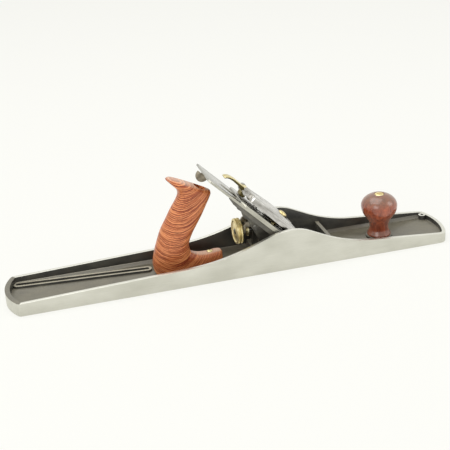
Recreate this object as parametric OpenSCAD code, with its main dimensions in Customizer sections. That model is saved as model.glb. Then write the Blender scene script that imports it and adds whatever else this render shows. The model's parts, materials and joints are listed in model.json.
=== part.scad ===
// Jointer plane of the iron bench type, with its frog, cutter, adjusters and wooden handles.
// Millimetres. X runs from heel to toe, Y to the plane's left side and Z up from the sole.
// The origin is the middle of the sole.

/* [Main casting] */
// Length of the sole from heel to toe
body_l = 557; // [545:1:600]
// Width across the ground sides
body_w = 75; // [72:0.5:80]
// Thickness of the side walls and the end rims
wall_t = 4.5; // [3.5:0.1:5.5]
// Thickness of the floor above the sole
floor_t = 6; // [5:0.1:6.5]
// Radius of the curved toe in plan
toe_r = 79; // [70:1:95]
// Radius of the toe's corners in plan
toe_corner_r = 11; // [8:0.5:13]
// Radius of the curved heel in plan
heel_r = 65; // [58:1:80]
// Radius of the heel's corners in plan
heel_corner_r = 5; // [5:0.5:9]
// Height of the heel rim
heel_h = 15.5; // [13:0.1:18]
// Height of the toe rim
toe_h = 11.3; // [11:0.1:15]
// Height of the side walls at their crest
crest_h = 52; // [46:0.5:54]
// Distance of the crest behind the cutting line
crest_back = 30; // [26:0.5:34]
// Radius of the crest towards the heel
crest_rear_r = 80; // [70:1:90]
// Radius of the crest towards the toe
crest_front_r = 55; // [48:1:62]
// Radius of the hollow sweep behind the crest
sweep_rear_r = 255; // [200:5:280]
// Radius of the hollow sweep ahead of the crest
sweep_front_r = 175; // [140:5:200]
// Distance of the cutting line behind the toe
mouth_from_toe = 182.5; // [180:0.5:190]
// Clear slot ahead of the cutting edge, along the sole
mouth_gap = 3.5; // [3.2:0.1:4]
// Height of the cross rib ahead of the mouth
rib_h = 24.5; // [20:0.5:28]
// Thickness of the cross rib
rib_t = 4.5; // [3.5:0.1:6]
// Height of the pads and low ribs above the floor
pad_h = 3; // [2:0.1:4]
// Radius of the hole for a hook at the toe
hang_r = 1.9; // [1.5:0.1:2.4]

/* [Frog] */
// Angle between the cutter bed and the sole
bed_angle = 45; // [44:0.5:46]
// Width of the bed plate
frog_w = 54; // [50:0.5:56]
// Thickness of the bed plate
frog_plate_t = 6; // [5.5:0.1:6.5]
// Distance from the cutting line up to the top of the bed plate
frog_top = 127; // [124:0.5:130]
// Height of the machined seat under the frog, above the sole
seat_h = 13; // [12.6:0.1:14]
// Radius of the two frog screws
frog_screw_r = 2.9; // [2.5:0.1:3.2]
// Distance of each frog screw from the middle
frog_screw_y = 20; // [19.5:0.1:20.5]
// How far the frog can be shifted towards the toe
frog_travel_fwd = 1.5; // [0.5:0.1:1.5]
// How far the frog can be shifted towards the heel
frog_travel_back = 1; // [0.5:0.1:1]

/* [Cutter] */
// Width of the cutting iron
iron_w = 60; // [56:0.5:62]
// Length of the cutting iron
iron_l = 181; // [170:1:190]
// Thickness of the cutting iron
iron_t = 2.5; // [2:0.1:2.8]
// Width of the slot in the cutting iron
iron_slot_w = 11.2; // [10.8:0.1:12]
// Length of the cap iron along the bed
cap_iron_l = 128; // [126:1:134]
// Thickness of the cap iron
cap_iron_t = 2.5; // [2:0.1:3]
// Radius of the cap iron screw's head
cap_screw_head_r = 8; // [7:0.1:8.4]

/* [Lever cap] */
// Width of the lever cap at its lower end
cap_w = 57; // [54:0.5:59]
// Width of the lever cap at its upper end
cap_top_w = 42; // [38:0.5:46]
// Height of the lever cap's crown above the bed
cap_crown = 21; // [20.4:0.1:21.6]
// Radius of the lever cap screw's head
cap_bolt_head_r = 6; // [5.4:0.1:6.3]
// Distance of the lever cap screw up the bed
cap_bolt_s = 62; // [60:0.5:64]
// How far the lever cap slides up to free its keyhole
cap_travel = 12; // [11:0.5:14]
// Width of the brass cam lever
cam_w = 11; // [9:0.5:12]
// Radius of the cam lever's pin
cam_pin_r = 1.6; // [1.3:0.1:2]

/* [Depth and lateral adjusters] */
// Radius of the brass depth wheel
wheel_r = 16; // [14:0.5:17]
// Thickness of the depth wheel's rim
wheel_rim_t = 7.5; // [6:0.1:8]
// Height of the depth wheel's axis above the sole
wheel_z = 45; // [44:0.5:46]
// Radius of the stud that the depth wheel turns on
stud_r = 3.5; // [3:0.1:3.8]
// Reach of the yoke's fork below its pin
yoke_reach = 10; // [9.5:0.1:10.5]
// Travel of the fork for one turn of the wheel
thread_pitch = 1.06; // [0.9:0.01:1.1]
// Radius of the pin under the yoke
yoke_pin_r = 1.6; // [1.3:0.1:2]
// Distance of the lateral lever's rivet up the bed
lateral_s = 119; // [117:0.5:120]
// Swing of the lateral lever to each side, in degrees
lateral_swing = 5; // [3:0.5:5]
// Radius of the lateral lever's thumb tab
tab_r = 8; // [6.5:0.5:8.5]

/* [Rear handle] */
// Thickness of the rear handle
tote_t = 25; // [22:0.5:28]
// Gap between the handle's toe and the cutting line
tote_from_bed = 109; // [107:0.5:115]
// Height of the handle's toe above the floor
tote_toe_h = 19; // [16:0.5:22]
// Tilt of the handle's rod from upright, in degrees
tote_rod_tilt = 21.7; // [20:0.1:23]
// Radius of the handle and knob rods
rod_r = 3.4; // [3:0.1:3.8]
// Radius of the brass nuts on the rods
nut_r = 6; // [5.5:0.1:6.5]

/* [Front knob] */
// Distance of the knob's axis behind the toe
knob_from_toe = 84; // [78:0.5:86]
// Largest radius of the knob
knob_r = 22.8; // [20:0.1:25]
// Radius of the knob's waist
knob_waist_r = 11.8; // [10.5:0.1:12.4]
// Radius of the knob's foot
knob_foot_r = 15.1; // [14.6:0.1:17]
// Height of the knob's widest line above its foot
knob_belly_h = 39.5; // [36:0.5:44]
// Height of the knob's crown above its widest line
knob_crown_h = 15.9; // [14:0.1:18]

/* [Clearances] */
// Radial running clearance of shafts in bores
run_clear = 0.05; // [0.02:0.01:0.1]
// Gap between pieces that lie on each other without a fit
lay_gap = 0.3; // [0.2:0.05:0.3]

/* [Hidden] */
eps = 0.01;
big = 400;
hole_spare = 0.5;
driver_w = 1.4;
driver_deep = 1.25;
pad_rim = 1.5;

// Finishes, as the plane shows them
ground_iron = "lightgray";
japan = "#2b2b2a";
steel = "silver";
brass = "#d9c27a";
handle_wood = "#c06a42";
knob_wood = "#7a3b28";

// Derived places of the main casting
half_l = body_l / 2;
half_w = body_w / 2;
bed_x = half_l - mouth_from_toe;
inner_w = body_w - 2 * wall_t;
crest_x = bed_x - crest_back;
heel_rise = 2;
toe_rise = 5;
flank_rear = 20.3;
flank_front = 25.6;
rib_x = bed_x + 24;
heel_wall_more = 1.5;
floor_fillet = 5;
mouth_w = iron_w + 2;
mouth_back = 1.7;
mouth_lip_h = 2.4;
mouth_relief = 6;

// The frog's seat and its screws
seat_x0 = bed_x - 66;
seat_x1 = bed_x - 34;
seat_w = 50;
foot_t = 6;
foot_x0 = seat_x0 - 4;
frog_toe_x = seat_x1 + 2.5;
frog_under_z = floor_t + lay_gap;
frog_screw_x = bed_x - 55;
frog_screw_head_r = 4.4;
frog_screw_head_h = 3.6;
washer_t = 1.2;
washer_r = 4.6;
screw_depth = 6;
access_r = 5;

// The frog's adjusting screw and its clip
adj_r = 2;
adj_collar_r = 3.1;
adj_z = floor_t + adj_collar_r + 0.4;
adj_groove_r = 1.5;
adj_bore_l = 20;
adj_thread_l = 16;
adj_head_l = 4;
adj_collar_l = 1.6;
clip_t = 1.6;
clip_w = 11;
clip_x = foot_x0 - clip_t;
clip_screw_r = 1.5;
clip_screw_z = seat_h + foot_t / 2;
clip_screw_head_r = 2.6;
clip_screw_head_h = 1.8;
clip_screw_l = 6;

// The frog's plate and cheeks, with s up the bed from the cutting line and t off the bed
plate_low = 4;
plate_taper_s = 98;
plate_top_w = 34;
plate_end_r = 8;
cheek_in = 10.5;
cheek_t = 4;
cap_pocket_s = 40;
cap_pocket_r = cap_screw_head_r + 0.8;
cap_pocket_run = 5;
bolt_r = 3.2;
bolt_boss_r = 7.5;
bolt_boss_t = 6;
stud_boss_r = 7.5;
stud_boss_x = bed_x - 64;
stud_root_x = bed_x - 54;

// The yoke and the depth wheel
wheel_x0 = bed_x - 91.8;
wheel_x1 = wheel_x0 + wheel_rim_t;
fork_t = 3;
fork_swing = thread_pitch;
hub_core_r = 5.6;
hub_flange_r = 8;
hub_flange_t = 2.3;
groove_l = fork_t + 2 * fork_swing * 1.5 + 0.9;
hub_x1 = wheel_x1 + groove_l;
stud_tail_x = wheel_x0 + 0.5;
fork_x = wheel_x1 + groove_l / 2;
yoke_x = hub_x1 + hub_flange_t + 4.9;
yoke_z = wheel_z + yoke_reach;
yoke_hub_r = 4;
yoke_w = 2 * (cheek_in - 0.4);
fork_gap = hub_core_r + 0.6;
fork_arm_t = 3;
fork_end = 3.2;
fork_top = 7.5;
fork_tip = 1.2;
finger_t = 4.2;
finger_w = 7;
yoke_s = (yoke_z * sin(bed_angle)) - (yoke_x - bed_x) * cos(bed_angle);
yoke_t = (yoke_z * cos(bed_angle)) + (yoke_x - bed_x) * sin(bed_angle);
finger_top = iron_t + cap_iron_t - 0.6;
finger_slot = finger_t + 6.5;
finger_window = finger_t + 0.8;

// The lateral lever
lateral_t = 2;
lateral_top = -0.2;
lateral_w = 11;
lateral_low = 13;
lateral_tail_s = 168;
lateral_tail_w = 5.2;
lateral_recess = 2.4;
lateral_recess_w = 17;
tab_s = 178.5;
tab_t = -2.2;
tab_thick = 2;
tab_trim = 20;
tab_skin = 0.4;
roller_r = iron_slot_w / 2 - lateral_low * sin(lateral_swing) - 0.12;
roller_top = iron_t - 0.1;
rivet_r = 2.5;
rivet_head_r = 3.8;
roller_stud_r = 1.7;

// The cutter
bevel_angle = 25;
edge_lift = 0.2;
iron_slot_s0 = 31;
iron_slot_s1 = 152;
iron_corner = 3;
hump_s = 9;
hump_rise = 1.8;
hump_end = 20;
cap_iron_cut = 8;
iron_over = 9;
cap_edge_s = 1.5;
cap_slot_w = 8;
cap_slot_s0 = cap_bolt_s - 9;
cap_slot_s1 = cap_bolt_s + 9;
cap_screw_r = 3.5;
cap_screw_head_t = 3;

// The lever cap and its cam
cap_low_s = 11;
cap_lip_t = iron_t + cap_iron_t + hump_rise + lay_gap;
cap_lip_h = 1.6;
cap_shoulder_s = 52;
pin_s = cap_iron_l - 4;
cap_high_s = pin_s - 6;
cap_skin = 3.4;
cap_flange_t = 9.8;
cap_crown_r = 52;
cap_peak_s = 71;
cap_seat_t = 19.2;
cap_end_t = 17.2;
cap_seat_spare = 0.8;
cap_waist_s0 = 66;
cap_waist_s1 = 96;
cap_end_r = 7;
cap_sweep = 16;
cap_lip_l = 12;
bolt_tip_t = -11;
bolt_head_t = cap_seat_t - 0.2;
bolt_head_h = 3.6;
keyhole_r = cap_bolt_head_r + 0.6;
keyhole_w = 2 * bolt_r + 1.2;
pin_t = 15.2;
ear_t = 4.5;
ear_r = 4.8;
ear_gap = cam_w + 0.8;
spring_t = 0.8;
spring_w = 10;
spring_l = 34;
spring_s1 = pin_s + 2.5;
spring_s0 = spring_s1 - spring_l;
spring_z = iron_t + cap_iron_t + lay_gap;
spring_rivet_s = spring_s0 + 5;
spring_rivet_r = 1.5;
spring_rivet_head_r = 3;
cam_eye_r = 4.4;
cam_foot_t = spring_z + spring_t + lay_gap;
cam_under = [
  [pin_s + 2, pin_t - 3.4], [pin_s + 5, pin_t - 1.8], [pin_s + 9.5, pin_t - 0.6], [pin_s + 15, pin_t],
  [pin_s + 21, pin_t + 0.3], [pin_s + 26, pin_t - 0.1], [pin_s + 29.4, pin_t - 1.5],
  [pin_s + 31.6, pin_t - 3.4]
];
cam_over = [
  [pin_s + 32.6, pin_t - 2.9], [pin_s + 31.4, pin_t - 0.7], [pin_s + 28, pin_t + 1.5],
    [pin_s + 24, pin_t + 2.6],
  [pin_s + 19, pin_t + 3.1], [pin_s + 11.4, pin_t + 2.9], [pin_s + 4.5, pin_t + 2.9],
    [pin_s - 1, pin_t + 4.2]
];
pin_over = 0.6;

// The rear handle, with x back from its toe and z above the floor
tote_x = bed_x - tote_from_bed;
tote_toe_l = 40;
tote_toe_w = 20;
toe_hidden = 12;
toe_open_h = 40;
tote_screw_in = 4;
tote_screw_sunk = 1.8;
tote_screw_rim_t = 1.2;
rod_hole_sink = 0.6;
tote_rear = [
  [-83, 0], [-86, 6], [-86.6, 16.5], [-84, 29], [-80.4, 40.4], [-74.6, 55.9], [-67.4, 68.6],
  [-60.3, 81.3], [-54.1, 90.7], [-50.5, 98], [-50.1, 103.1], [-52.2, 108], [-57.7, 114.2], [-63.5, 120.8]
];
tote_front = [
  [-37, 0], [-38.5, 10], [-39.6, 24], [-40.8, 32], [-39.4, 39.5], [-34.7, 50], [-28.7, 60],
  [-22.8, 70], [-18.1, 79], [-15.1, 85], [-13.1, 88.5], [-11.8, 91.2], [-10.8, 93.2], [-10.1, 94.6]
];
tote_half = [0.94, 0.98, 1, 1, 1, 1, 1, 1, 1, 1, 1, 1, 1, 0.98];
// The crowned top: rise over the last ring, and shares of its length and width
tote_crown = [[1.3, 0.985, 0.95], [2.6, 0.96, 0.82], [3.6, 0.93, 0.62], [4.2, 0.9, 0.38]];
tote_ring = 32;
tote_squareness = 2.5;
tote_screw_back = 15;
tote_screw_r = 2.4;
tote_screw_head_r = 3.7;
tote_screw_head_h = 1.2;
rod_base_x = tote_x - 65;
rod_base_z = floor_t;
boss_r = 7.5;
boss_h = 7;
rod_l = 107;
tote_nut_at = rod_l - 2.4;
nut_sleeve_l = 7;
nut_sleeve_r = nut_r - 1.4;
nut_rim_t = 2.2;
nut_cover = 5;
recess_r = nut_r + 1.6;
nut_slot = 1.4;
nut_slot_deep = 1.5;

// The low ribs on the rear floor
low_rib_w = 3;
low_rib_gap = 5.5;
low_rib_heel = [-half_l + 17.5, 27.5];
low_rib_tote = [tote_x - 92, 12.5];

// The front knob
knob_x = half_l - knob_from_toe;
knob_z = floor_t + pad_h;
// From foot to belly: how far the side stands out from the waist, and its share of the belly's height
knob_swell = [
  [1.8, 0.115], [0.6, 0.18], [0, 0.26], [0.1, 0.335], [0.9, 0.42], [2.4, 0.51], [5, 0.612], [8.3, 0.74],
  [10.3, 0.87]
];
knob_round = 0.6;
knob_edge_h = 2.2;
pilot_r = 6;
pilot_h = 4;
knob_nut_at = knob_belly_h + knob_crown_h - 3.4;
knob_rod_top = knob_nut_at - 0.5;

// Hang hole in the toe corner
hang_x = half_l - 12.2;
hang_y = half_w - 10.8;
hang_boss_r = 4.6;
hang_boss_h = toe_h + 0.6;

// Round stretch of an outline, in equal steps
function arc(c, r, a0, a1, n) =
  [for (i = [0:n]) c + r * [cos(a0 + (a1 - a0) * i / n), sin(a0 + (a1 - a0) * i / n)]];

// One end of the sole's outline, drawn in by a given amount, from the right side to the left
function end_points(end_r, corner_r, inset) =
  let (
    r = end_r - inset,
    k = max(corner_r - inset, 0.5),
    hw = half_w - inset,
    cx = half_l - end_r,
    kx = sqrt(pow(r - k, 2) - pow(hw - k, 2)),
    a = atan2(hw - k, kx)
  )
  concat(
    arc([cx + kx, -(hw - k)], k, -90, -a, 6),
    arc([cx, 0], r, -a, a, 22),
    arc([cx + kx, hw - k], k, a, 90, 6)
  );

// Outline of the sole, drawn in by a given amount
function plan_points(inset) = concat(
  end_points(toe_r, toe_corner_r, inset),
  [for (p = end_points(heel_r, heel_corner_r, inset)) [-p[0], -p[1]]]
);

// Outline of the hollow between the walls, whose heel wall is thicker than the rest
function hollow_points(inset) = concat(
  end_points(toe_r, toe_corner_r, inset),
  [for (p = end_points(heel_r, heel_corner_r, inset)) [-p[0] + heel_wall_more, -p[1]]]
);

// Where two sloping lines cross, each through a point
function crossing(p, a, q, b) =
  let (x = (q[1] - p[1] + p[0] * tan(a) - q[0] * tan(b)) / (tan(a) - tan(b)))
  [x, p[1] + (x - p[0]) * tan(a)];

// Upper edge of the side walls, from toe to heel
function side_points() =
  let (
    crest_f = [crest_x, crest_h - crest_front_r],
    crest_b = [crest_x, crest_h - crest_rear_r],
    flank_f = crest_f + crest_front_r * [sin(flank_front), cos(flank_front)],
    flank_b = crest_b + crest_rear_r * [-sin(flank_rear), cos(flank_rear)],
    low_f = crossing(flank_f, -flank_front, [half_l, toe_h], -toe_rise),
    low_b = crossing(flank_b, flank_rear, [-half_l, heel_h], heel_rise),
    tan_f = sweep_front_r * tan((flank_front - toe_rise) / 2),
    tan_b = sweep_rear_r * tan((flank_rear - heel_rise) / 2),
    sweep_f = low_f + tan_f * [cos(toe_rise), -sin(toe_rise)] + sweep_front_r * [sin(toe_rise),
      cos(toe_rise)],
    sweep_b = low_b - tan_b * [cos(heel_rise), sin(heel_rise)] + sweep_rear_r * [-sin(heel_rise),
      cos(heel_rise)]
  )
  concat(
    [[half_l, 0], [half_l, toe_h]],
    arc(sweep_f, sweep_front_r, -90 - toe_rise, -90 - flank_front, 8),
    arc(crest_f, crest_front_r, 90 - flank_front, 90, 8),
    arc(crest_b, crest_rear_r, 90, 90 + flank_rear, 8),
    arc(sweep_b, sweep_rear_r, -90 + flank_rear, -90 + heel_rise, 8),
    [[-half_l, heel_h], [-half_l, 0]]
  );

// Stands a flat outline up, so that its second axis becomes Z, and gives it a width along Y
module upright(w) { rotate([90, 0, 0]) linear_extrude(height = w, center = true) children(); }

// Moves a piece drawn as s, y, t to its place on the cutter bed
module on_bed() { translate([bed_x, 0, 0]) rotate([0, bed_angle, 0]) rotate([0, 0, 180]) children(); }

// Flat slot with round ends along the first axis
module slot_2d(s0, s1, w) {
  translate([s0, -w / 2]) square([s1 - s0, w]);
  translate([s0, 0]) circle(d = w, $fn = 48);
  translate([s1, 0]) circle(d = w, $fn = 48);
}

// Cylinder along X from x0 to x1
module rod_x(x0, x1, r) { translate([x0, 0, 0]) rotate([0, 90, 0]) cylinder(r = r, h = x1 - x0, $fn = 48); }

// Long low rib with round ends and a groove down its middle
module low_rib() {
  run = low_rib_tote - low_rib_heel;
  len = norm(run);
  translate([low_rib_heel[0], low_rib_heel[1], floor_t - eps]) rotate([0, 0, atan2(run[1], run[0])])
    linear_extrude(height = pad_h + eps) difference() {
      slot_2d(0, len, low_rib_gap + 2 * low_rib_w);
      slot_2d(0, len, low_rib_gap);
    }
}

// Sloping fillet between a side wall and the floor
module floor_fillets() {
  for (side = [-1, 1])
    intersection() {
      linear_extrude(height = big) polygon(hollow_points(wall_t - eps));
      translate([0, side * inner_w / 2, floor_t]) rotate([45, 0, 0])
        cube([body_l, floor_fillet, floor_fillet], center = true);
    }
}

module body_casting() {
  color(ground_iron) difference() {
    union() {
      intersection() {
        linear_extrude(height = crest_h + 1) polygon(plan_points(0));
        upright(body_w + 2) polygon(side_points());
        union() {
          translate([-half_l - 1, -half_w - 1, 0]) cube([body_l + 2, body_w + 2, floor_t]);
          difference() {
            translate([-half_l - 1, -half_w - 1, 0]) cube([body_l + 2, body_w + 2, crest_h + 1]);
            translate([0, 0, floor_t]) linear_extrude(height = crest_h + 2) polygon(hollow_points(wall_t));
          }
        }
      }
      floor_fillets();
      translate([rib_x, -inner_w / 2 - eps, floor_t - eps])
        cube([rib_t, inner_w + 2 * eps, rib_h - floor_t + eps]);
      translate([seat_x0, -seat_w / 2, floor_t - eps])
        cube([seat_x1 - seat_x0, seat_w, seat_h - floor_t + eps]);
      translate([knob_x, 0, floor_t - eps]) cylinder(r = knob_foot_r + pad_rim, h = pad_h + eps, $fn = 96);
      translate([knob_x, 0, knob_z - eps]) cylinder(r = pilot_r, h = pilot_h + eps, $fn = 64);
      translate([rod_base_x, 0, floor_t - eps]) cylinder(r = boss_r, h = boss_h + eps, $fn = 64);
      translate([hang_x, hang_y, 0]) cylinder(r = hang_boss_r, h = hang_boss_h, $fn = 48);
      low_rib();
    }
    mouth_cut();
    for (side = [-1, 1])
      translate([frog_screw_x, side * frog_screw_y, seat_h - screw_depth - lay_gap])
        cylinder(r = frog_screw_r + run_clear, h = screw_depth + 1, $fn = 48);
    translate([0, 0, adj_z]) rod_x(seat_x0 - 1, seat_x0 + adj_bore_l, adj_r + run_clear);
    translate([knob_x, 0, knob_z - screw_depth])
      cylinder(r = rod_r + run_clear, h = screw_depth + pilot_h + 1, $fn = 48);
    tote_rod_line(rod_hole_sink) cylinder(r = rod_r + run_clear, h = big, $fn = 48);
    translate([tote_x - tote_screw_back, 0, floor_t - tote_screw_in - hole_spare])
      cylinder(r = tote_screw_r + run_clear, h = big, $fn = 48);
    translate([hang_x, hang_y, -1]) cylinder(r = hang_r, h = hang_boss_h + 2, $fn = 48);
  }
}

// Slot through the sole for the cutter and the shavings
module mouth_cut() {
  front = bed_x + iron_t / sin(bed_angle) + mouth_gap;
  lean = cos(bed_angle) / sin(bed_angle);
  low = -1;
  high = floor_t + 1;
  upright(mouth_w) polygon([
    [bed_x - mouth_back - low * lean, low], [front, low], [front, mouth_lip_h],
    [front + mouth_relief, high], [bed_x - mouth_back - high * lean, high]
  ]);
}

// The bed plate seen square to the bed
module frog_plate_2d() {
  k = plate_end_r;
  polygon([
    [plate_low, -frog_w / 2], [plate_taper_s, -frog_w / 2], [frog_top - k, -plate_top_w / 2],
    [frog_top, -plate_top_w / 2 + k], [frog_top, plate_top_w / 2 - k], [frog_top - k, plate_top_w / 2],
    [plate_taper_s, frog_w / 2], [plate_low, frog_w / 2]
  ]);
}

// Side outline of the two cheeks that carry the bed plate
module cheek_2d() {
  polygon([
    [foot_x0 + 2, seat_h + 2], [foot_x0 + 4, seat_h + 14], [yoke_x + 5, wheel_z - 9],
      [yoke_x - 1, wheel_z + 3],
    [yoke_x - 5.5, yoke_z + 2], [yoke_x - 8, yoke_z + 9], [bed_x - 83.5, yoke_z + 14],
      [bed_x - 86.5, yoke_z + 24.5],
    [bed_x - 84.5, yoke_z + 25.5], [bed_x - 24, seat_h + 5.5], [bed_x - 33, seat_h + 2]
  ]);
}

module frog() {
  color(japan) difference() {
    union() {
      on_bed() translate([0, 0, -frog_plate_t]) linear_extrude(height = frog_plate_t) frog_plate_2d();
      for (side = [-1, 1]) translate([0, side * (cheek_in + cheek_t / 2), 0]) upright(cheek_t) cheek_2d();
      translate([foot_x0, -frog_w / 2 + 1, seat_h]) cube([bed_x - 29 - foot_x0, frog_w - 2, foot_t]);
      upright(frog_w - 1) polygon([
        [frog_toe_x, 4], [bed_x - 0.7 - 4 / tan(bed_angle), 4], [bed_x - 0.7 - 28 / tan(bed_angle), 28],
        [bed_x - 35, 28], [frog_toe_x, seat_h + foot_t]
      ]);
      difference() {
        translate([0, 0, wheel_z]) rod_x(stud_boss_x, stud_root_x + 14, stud_boss_r);
        on_bed() translate([-big / 2, -big / 2, -frog_plate_t / 3]) cube([big, big, big]);
      }
      on_bed() translate([cap_bolt_s, 0, -frog_plate_t - bolt_boss_t])
        cylinder(r = bolt_boss_r, h = bolt_boss_t + eps, $fn = 64);
    }
    frog_cuts();
  }
}

// Everything that is cut out of the frog
module frog_cuts() {
  translate([-big / 2, -big / 2, -big + frog_under_z]) cube([big, big, big]);
  on_bed() translate([cap_pocket_s, 0, -cap_screw_head_t - 1.2])
    linear_extrude(height = big) slot_2d(-cap_pocket_run / 2, cap_pocket_run / 2, 2 * cap_pocket_r);
  on_bed() translate([yoke_s - finger_slot / 2, -finger_w / 2 - 1, -frog_plate_t - 5])
    cube([finger_slot, finger_w + 2, frog_plate_t + 6]);
  on_bed() translate([lateral_s - lateral_low - lateral_recess_w / 2 + 1, -lateral_recess_w / 2,
    -lateral_recess])
    cube([big, lateral_recess_w, big]);
  on_bed() translate([lateral_s, 0, -big / 2]) cylinder(r = rivet_r + run_clear, h = big, $fn = 48);
  on_bed() translate([cap_bolt_s, 0, bolt_tip_t - hole_spare])
      cylinder(r = bolt_r + run_clear, h = big, $fn = 48);
  translate([0, 0, wheel_z]) rod_x(stud_boss_x - 1, stud_root_x, stud_r + run_clear);
  translate([yoke_x, 0, yoke_z]) rotate([90, 0, 0])
    cylinder(r = yoke_pin_r + run_clear, h = 2 * (cheek_in + cheek_t) + 2, center = true, $fn = 48);
  for (side = [-1, 1]) {
    translate([frog_screw_x, side * frog_screw_y, seat_h - 1]) linear_extrude(height = foot_t + 2)
      slot_2d(-frog_travel_fwd - 0.2, frog_travel_back + 0.2, 2 * frog_screw_r + 0.3);
    translate([frog_screw_x, side * frog_screw_y, seat_h + foot_t + 0.5]) linear_extrude(height = big)
      slot_2d(-frog_travel_fwd, frog_travel_back, 2 * access_r);
  }
  translate([0, 0, clip_screw_z]) rod_x(foot_x0 - 1, foot_x0 + clip_screw_l, clip_screw_r + run_clear);
}

module frog_screws() {
  color(steel) for (side = [-1, 1]) translate([frog_screw_x, side * frog_screw_y, 0]) difference() {
    union() {
      translate([0, 0, seat_h - screw_depth])
        cylinder(r = frog_screw_r, h = screw_depth + foot_t + washer_t + eps, $fn = 48);
      translate([0, 0, seat_h + foot_t + washer_t])
        cylinder(r = frog_screw_head_r, h = frog_screw_head_h, $fn = 48);
    }
    translate([0, 0, seat_h + foot_t + washer_t + frog_screw_head_h])
      cube([2 * frog_screw_head_r + 1, driver_w, 2 * driver_deep], center = true);
  }
}

module frog_washers() {
  color(steel) for (side = [-1, 1]) translate([frog_screw_x, side * frog_screw_y, seat_h + foot_t])
    difference() {
    cylinder(r = washer_r, h = washer_t, $fn = 48);
    translate([0, 0, -1]) cylinder(r = frog_screw_r + run_clear, h = washer_t + 2, $fn = 48);
  }
}

module frog_clip() {
  low = floor_t + 0.6;
  top = seat_h + foot_t - 0.4;
  color(steel) difference() {
    translate([clip_x, -clip_w / 2, low]) cube([clip_t, clip_w, top - low]);
    translate([clip_x - 1, -adj_groove_r - run_clear, low - 1])
      cube([clip_t + 2, 2 * (adj_groove_r + run_clear), adj_z - low + 1]);
    translate([0, 0, adj_z]) rod_x(clip_x - 1, clip_x + clip_t + 1, adj_groove_r + run_clear);
    translate([0, 0, clip_screw_z]) rod_x(clip_x - 1, clip_x + clip_t + 1, clip_screw_r + run_clear);
  }
}

module frog_clip_screw() {
  color(steel) translate([0, 0, clip_screw_z]) difference() {
    union() {
      rod_x(clip_x - eps, foot_x0 + clip_screw_l - 0.5, clip_screw_r);
      rod_x(clip_x - clip_screw_head_h, clip_x, clip_screw_head_r);
    }
    translate([clip_x - clip_screw_head_h, 0, 0])
      cube([1.6, 0.8, 2 * clip_screw_head_r + 1], center = true);
  }
}

module frog_adjusting_screw() {
  gap = 0.15;
  head_x = clip_x - gap;
  collar_x = clip_x + clip_t + gap;
  color(steel) translate([0, 0, adj_z]) difference() {
    union() {
      rod_x(head_x - adj_head_l, head_x, adj_collar_r);
      rod_x(head_x - eps, collar_x + eps, adj_groove_r);
      rod_x(collar_x, collar_x + adj_collar_l, adj_collar_r);
      rod_x(collar_x + adj_collar_l - eps, seat_x0 + adj_thread_l, adj_r);
    }
    translate([head_x - adj_head_l, 0, 0]) cube([2.4, 1, 2 * adj_collar_r + 1], center = true);
  }
}

module depth_stud() {
  color(steel) translate([0, 0, wheel_z]) rod_x(stud_tail_x, stud_root_x - 0.5, stud_r);
}

module depth_wheel() {
  groove_deep = 1.6;
  rim_groove = 1.8;
  dish = 1.8;
  rim_band = 3;
  rim_edge = 0.8;
  bore = stud_r + run_clear;
  m = wheel_rim_t / 2;
  color(brass) translate([wheel_x0, 0, wheel_z]) rotate([0, 90, 0]) rotate_extrude($fn = 96) polygon([
    [bore, dish], [hub_flange_r, dish], [wheel_r - rim_band - 1, dish], [wheel_r - rim_band, 0],
      [wheel_r - rim_edge, 0],
      [wheel_r, rim_edge],
    [wheel_r, m - rim_groove], [wheel_r - groove_deep, m - rim_groove / 2],
      [wheel_r - groove_deep, m + rim_groove / 2],
    [wheel_r, m + rim_groove], [wheel_r, wheel_rim_t - rim_edge], [wheel_r - rim_edge, wheel_rim_t],
      [wheel_r - rim_band, wheel_rim_t],
    [wheel_r - rim_band - 1, wheel_rim_t - dish], [hub_flange_r + 0.5, wheel_rim_t - dish],
      [hub_core_r, wheel_rim_t],
    [hub_core_r, wheel_rim_t + groove_l], [hub_flange_r, wheel_rim_t + groove_l],
    [hub_flange_r, wheel_rim_t + groove_l + hub_flange_t], [bore, wheel_rim_t + groove_l + hub_flange_t]
  ]);
}

module yoke() {
  color(steel) difference() {
    union() {
      for (side = [-1, 1]) translate([0, side * (fork_gap + fork_arm_t / 2), 0]) upright(fork_arm_t)
        polygon([
        [yoke_x, yoke_z + yoke_hub_r], [yoke_x, yoke_z - yoke_hub_r + 0.5],
          [fork_x + fork_t / 2, wheel_z + fork_top],
        [fork_x + fork_t / 2, wheel_z - fork_end + fork_tip], [fork_x + fork_t / 2 - 1, wheel_z - fork_end],
        [fork_x - fork_t / 2 + 1, wheel_z - fork_end], [fork_x - fork_t / 2, wheel_z - fork_end + fork_tip],
        [fork_x - fork_t / 2, wheel_z + fork_top + 2], [fork_x + fork_t / 2, yoke_z + yoke_hub_r]
      ]);
      translate([yoke_x, 0, yoke_z]) rotate([90, 0, 0])
        cylinder(r = yoke_hub_r, h = yoke_w, center = true, $fn = 64);
      on_bed() translate([yoke_s - finger_t / 2, -finger_w / 2, yoke_t])
        cube([finger_t, finger_w, finger_top - yoke_t]);
    }
    translate([yoke_x, 0, yoke_z]) rotate([90, 0, 0])
      cylinder(r = yoke_pin_r + run_clear, h = yoke_w + 2, center = true, $fn = 48);
  }
}

module yoke_pin() {
  color(steel) translate([yoke_x, 0, yoke_z]) rotate([90, 0, 0])
    cylinder(r = yoke_pin_r, h = 2 * (cheek_in + cheek_t) + 1, center = true, $fn = 48);
}

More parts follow.
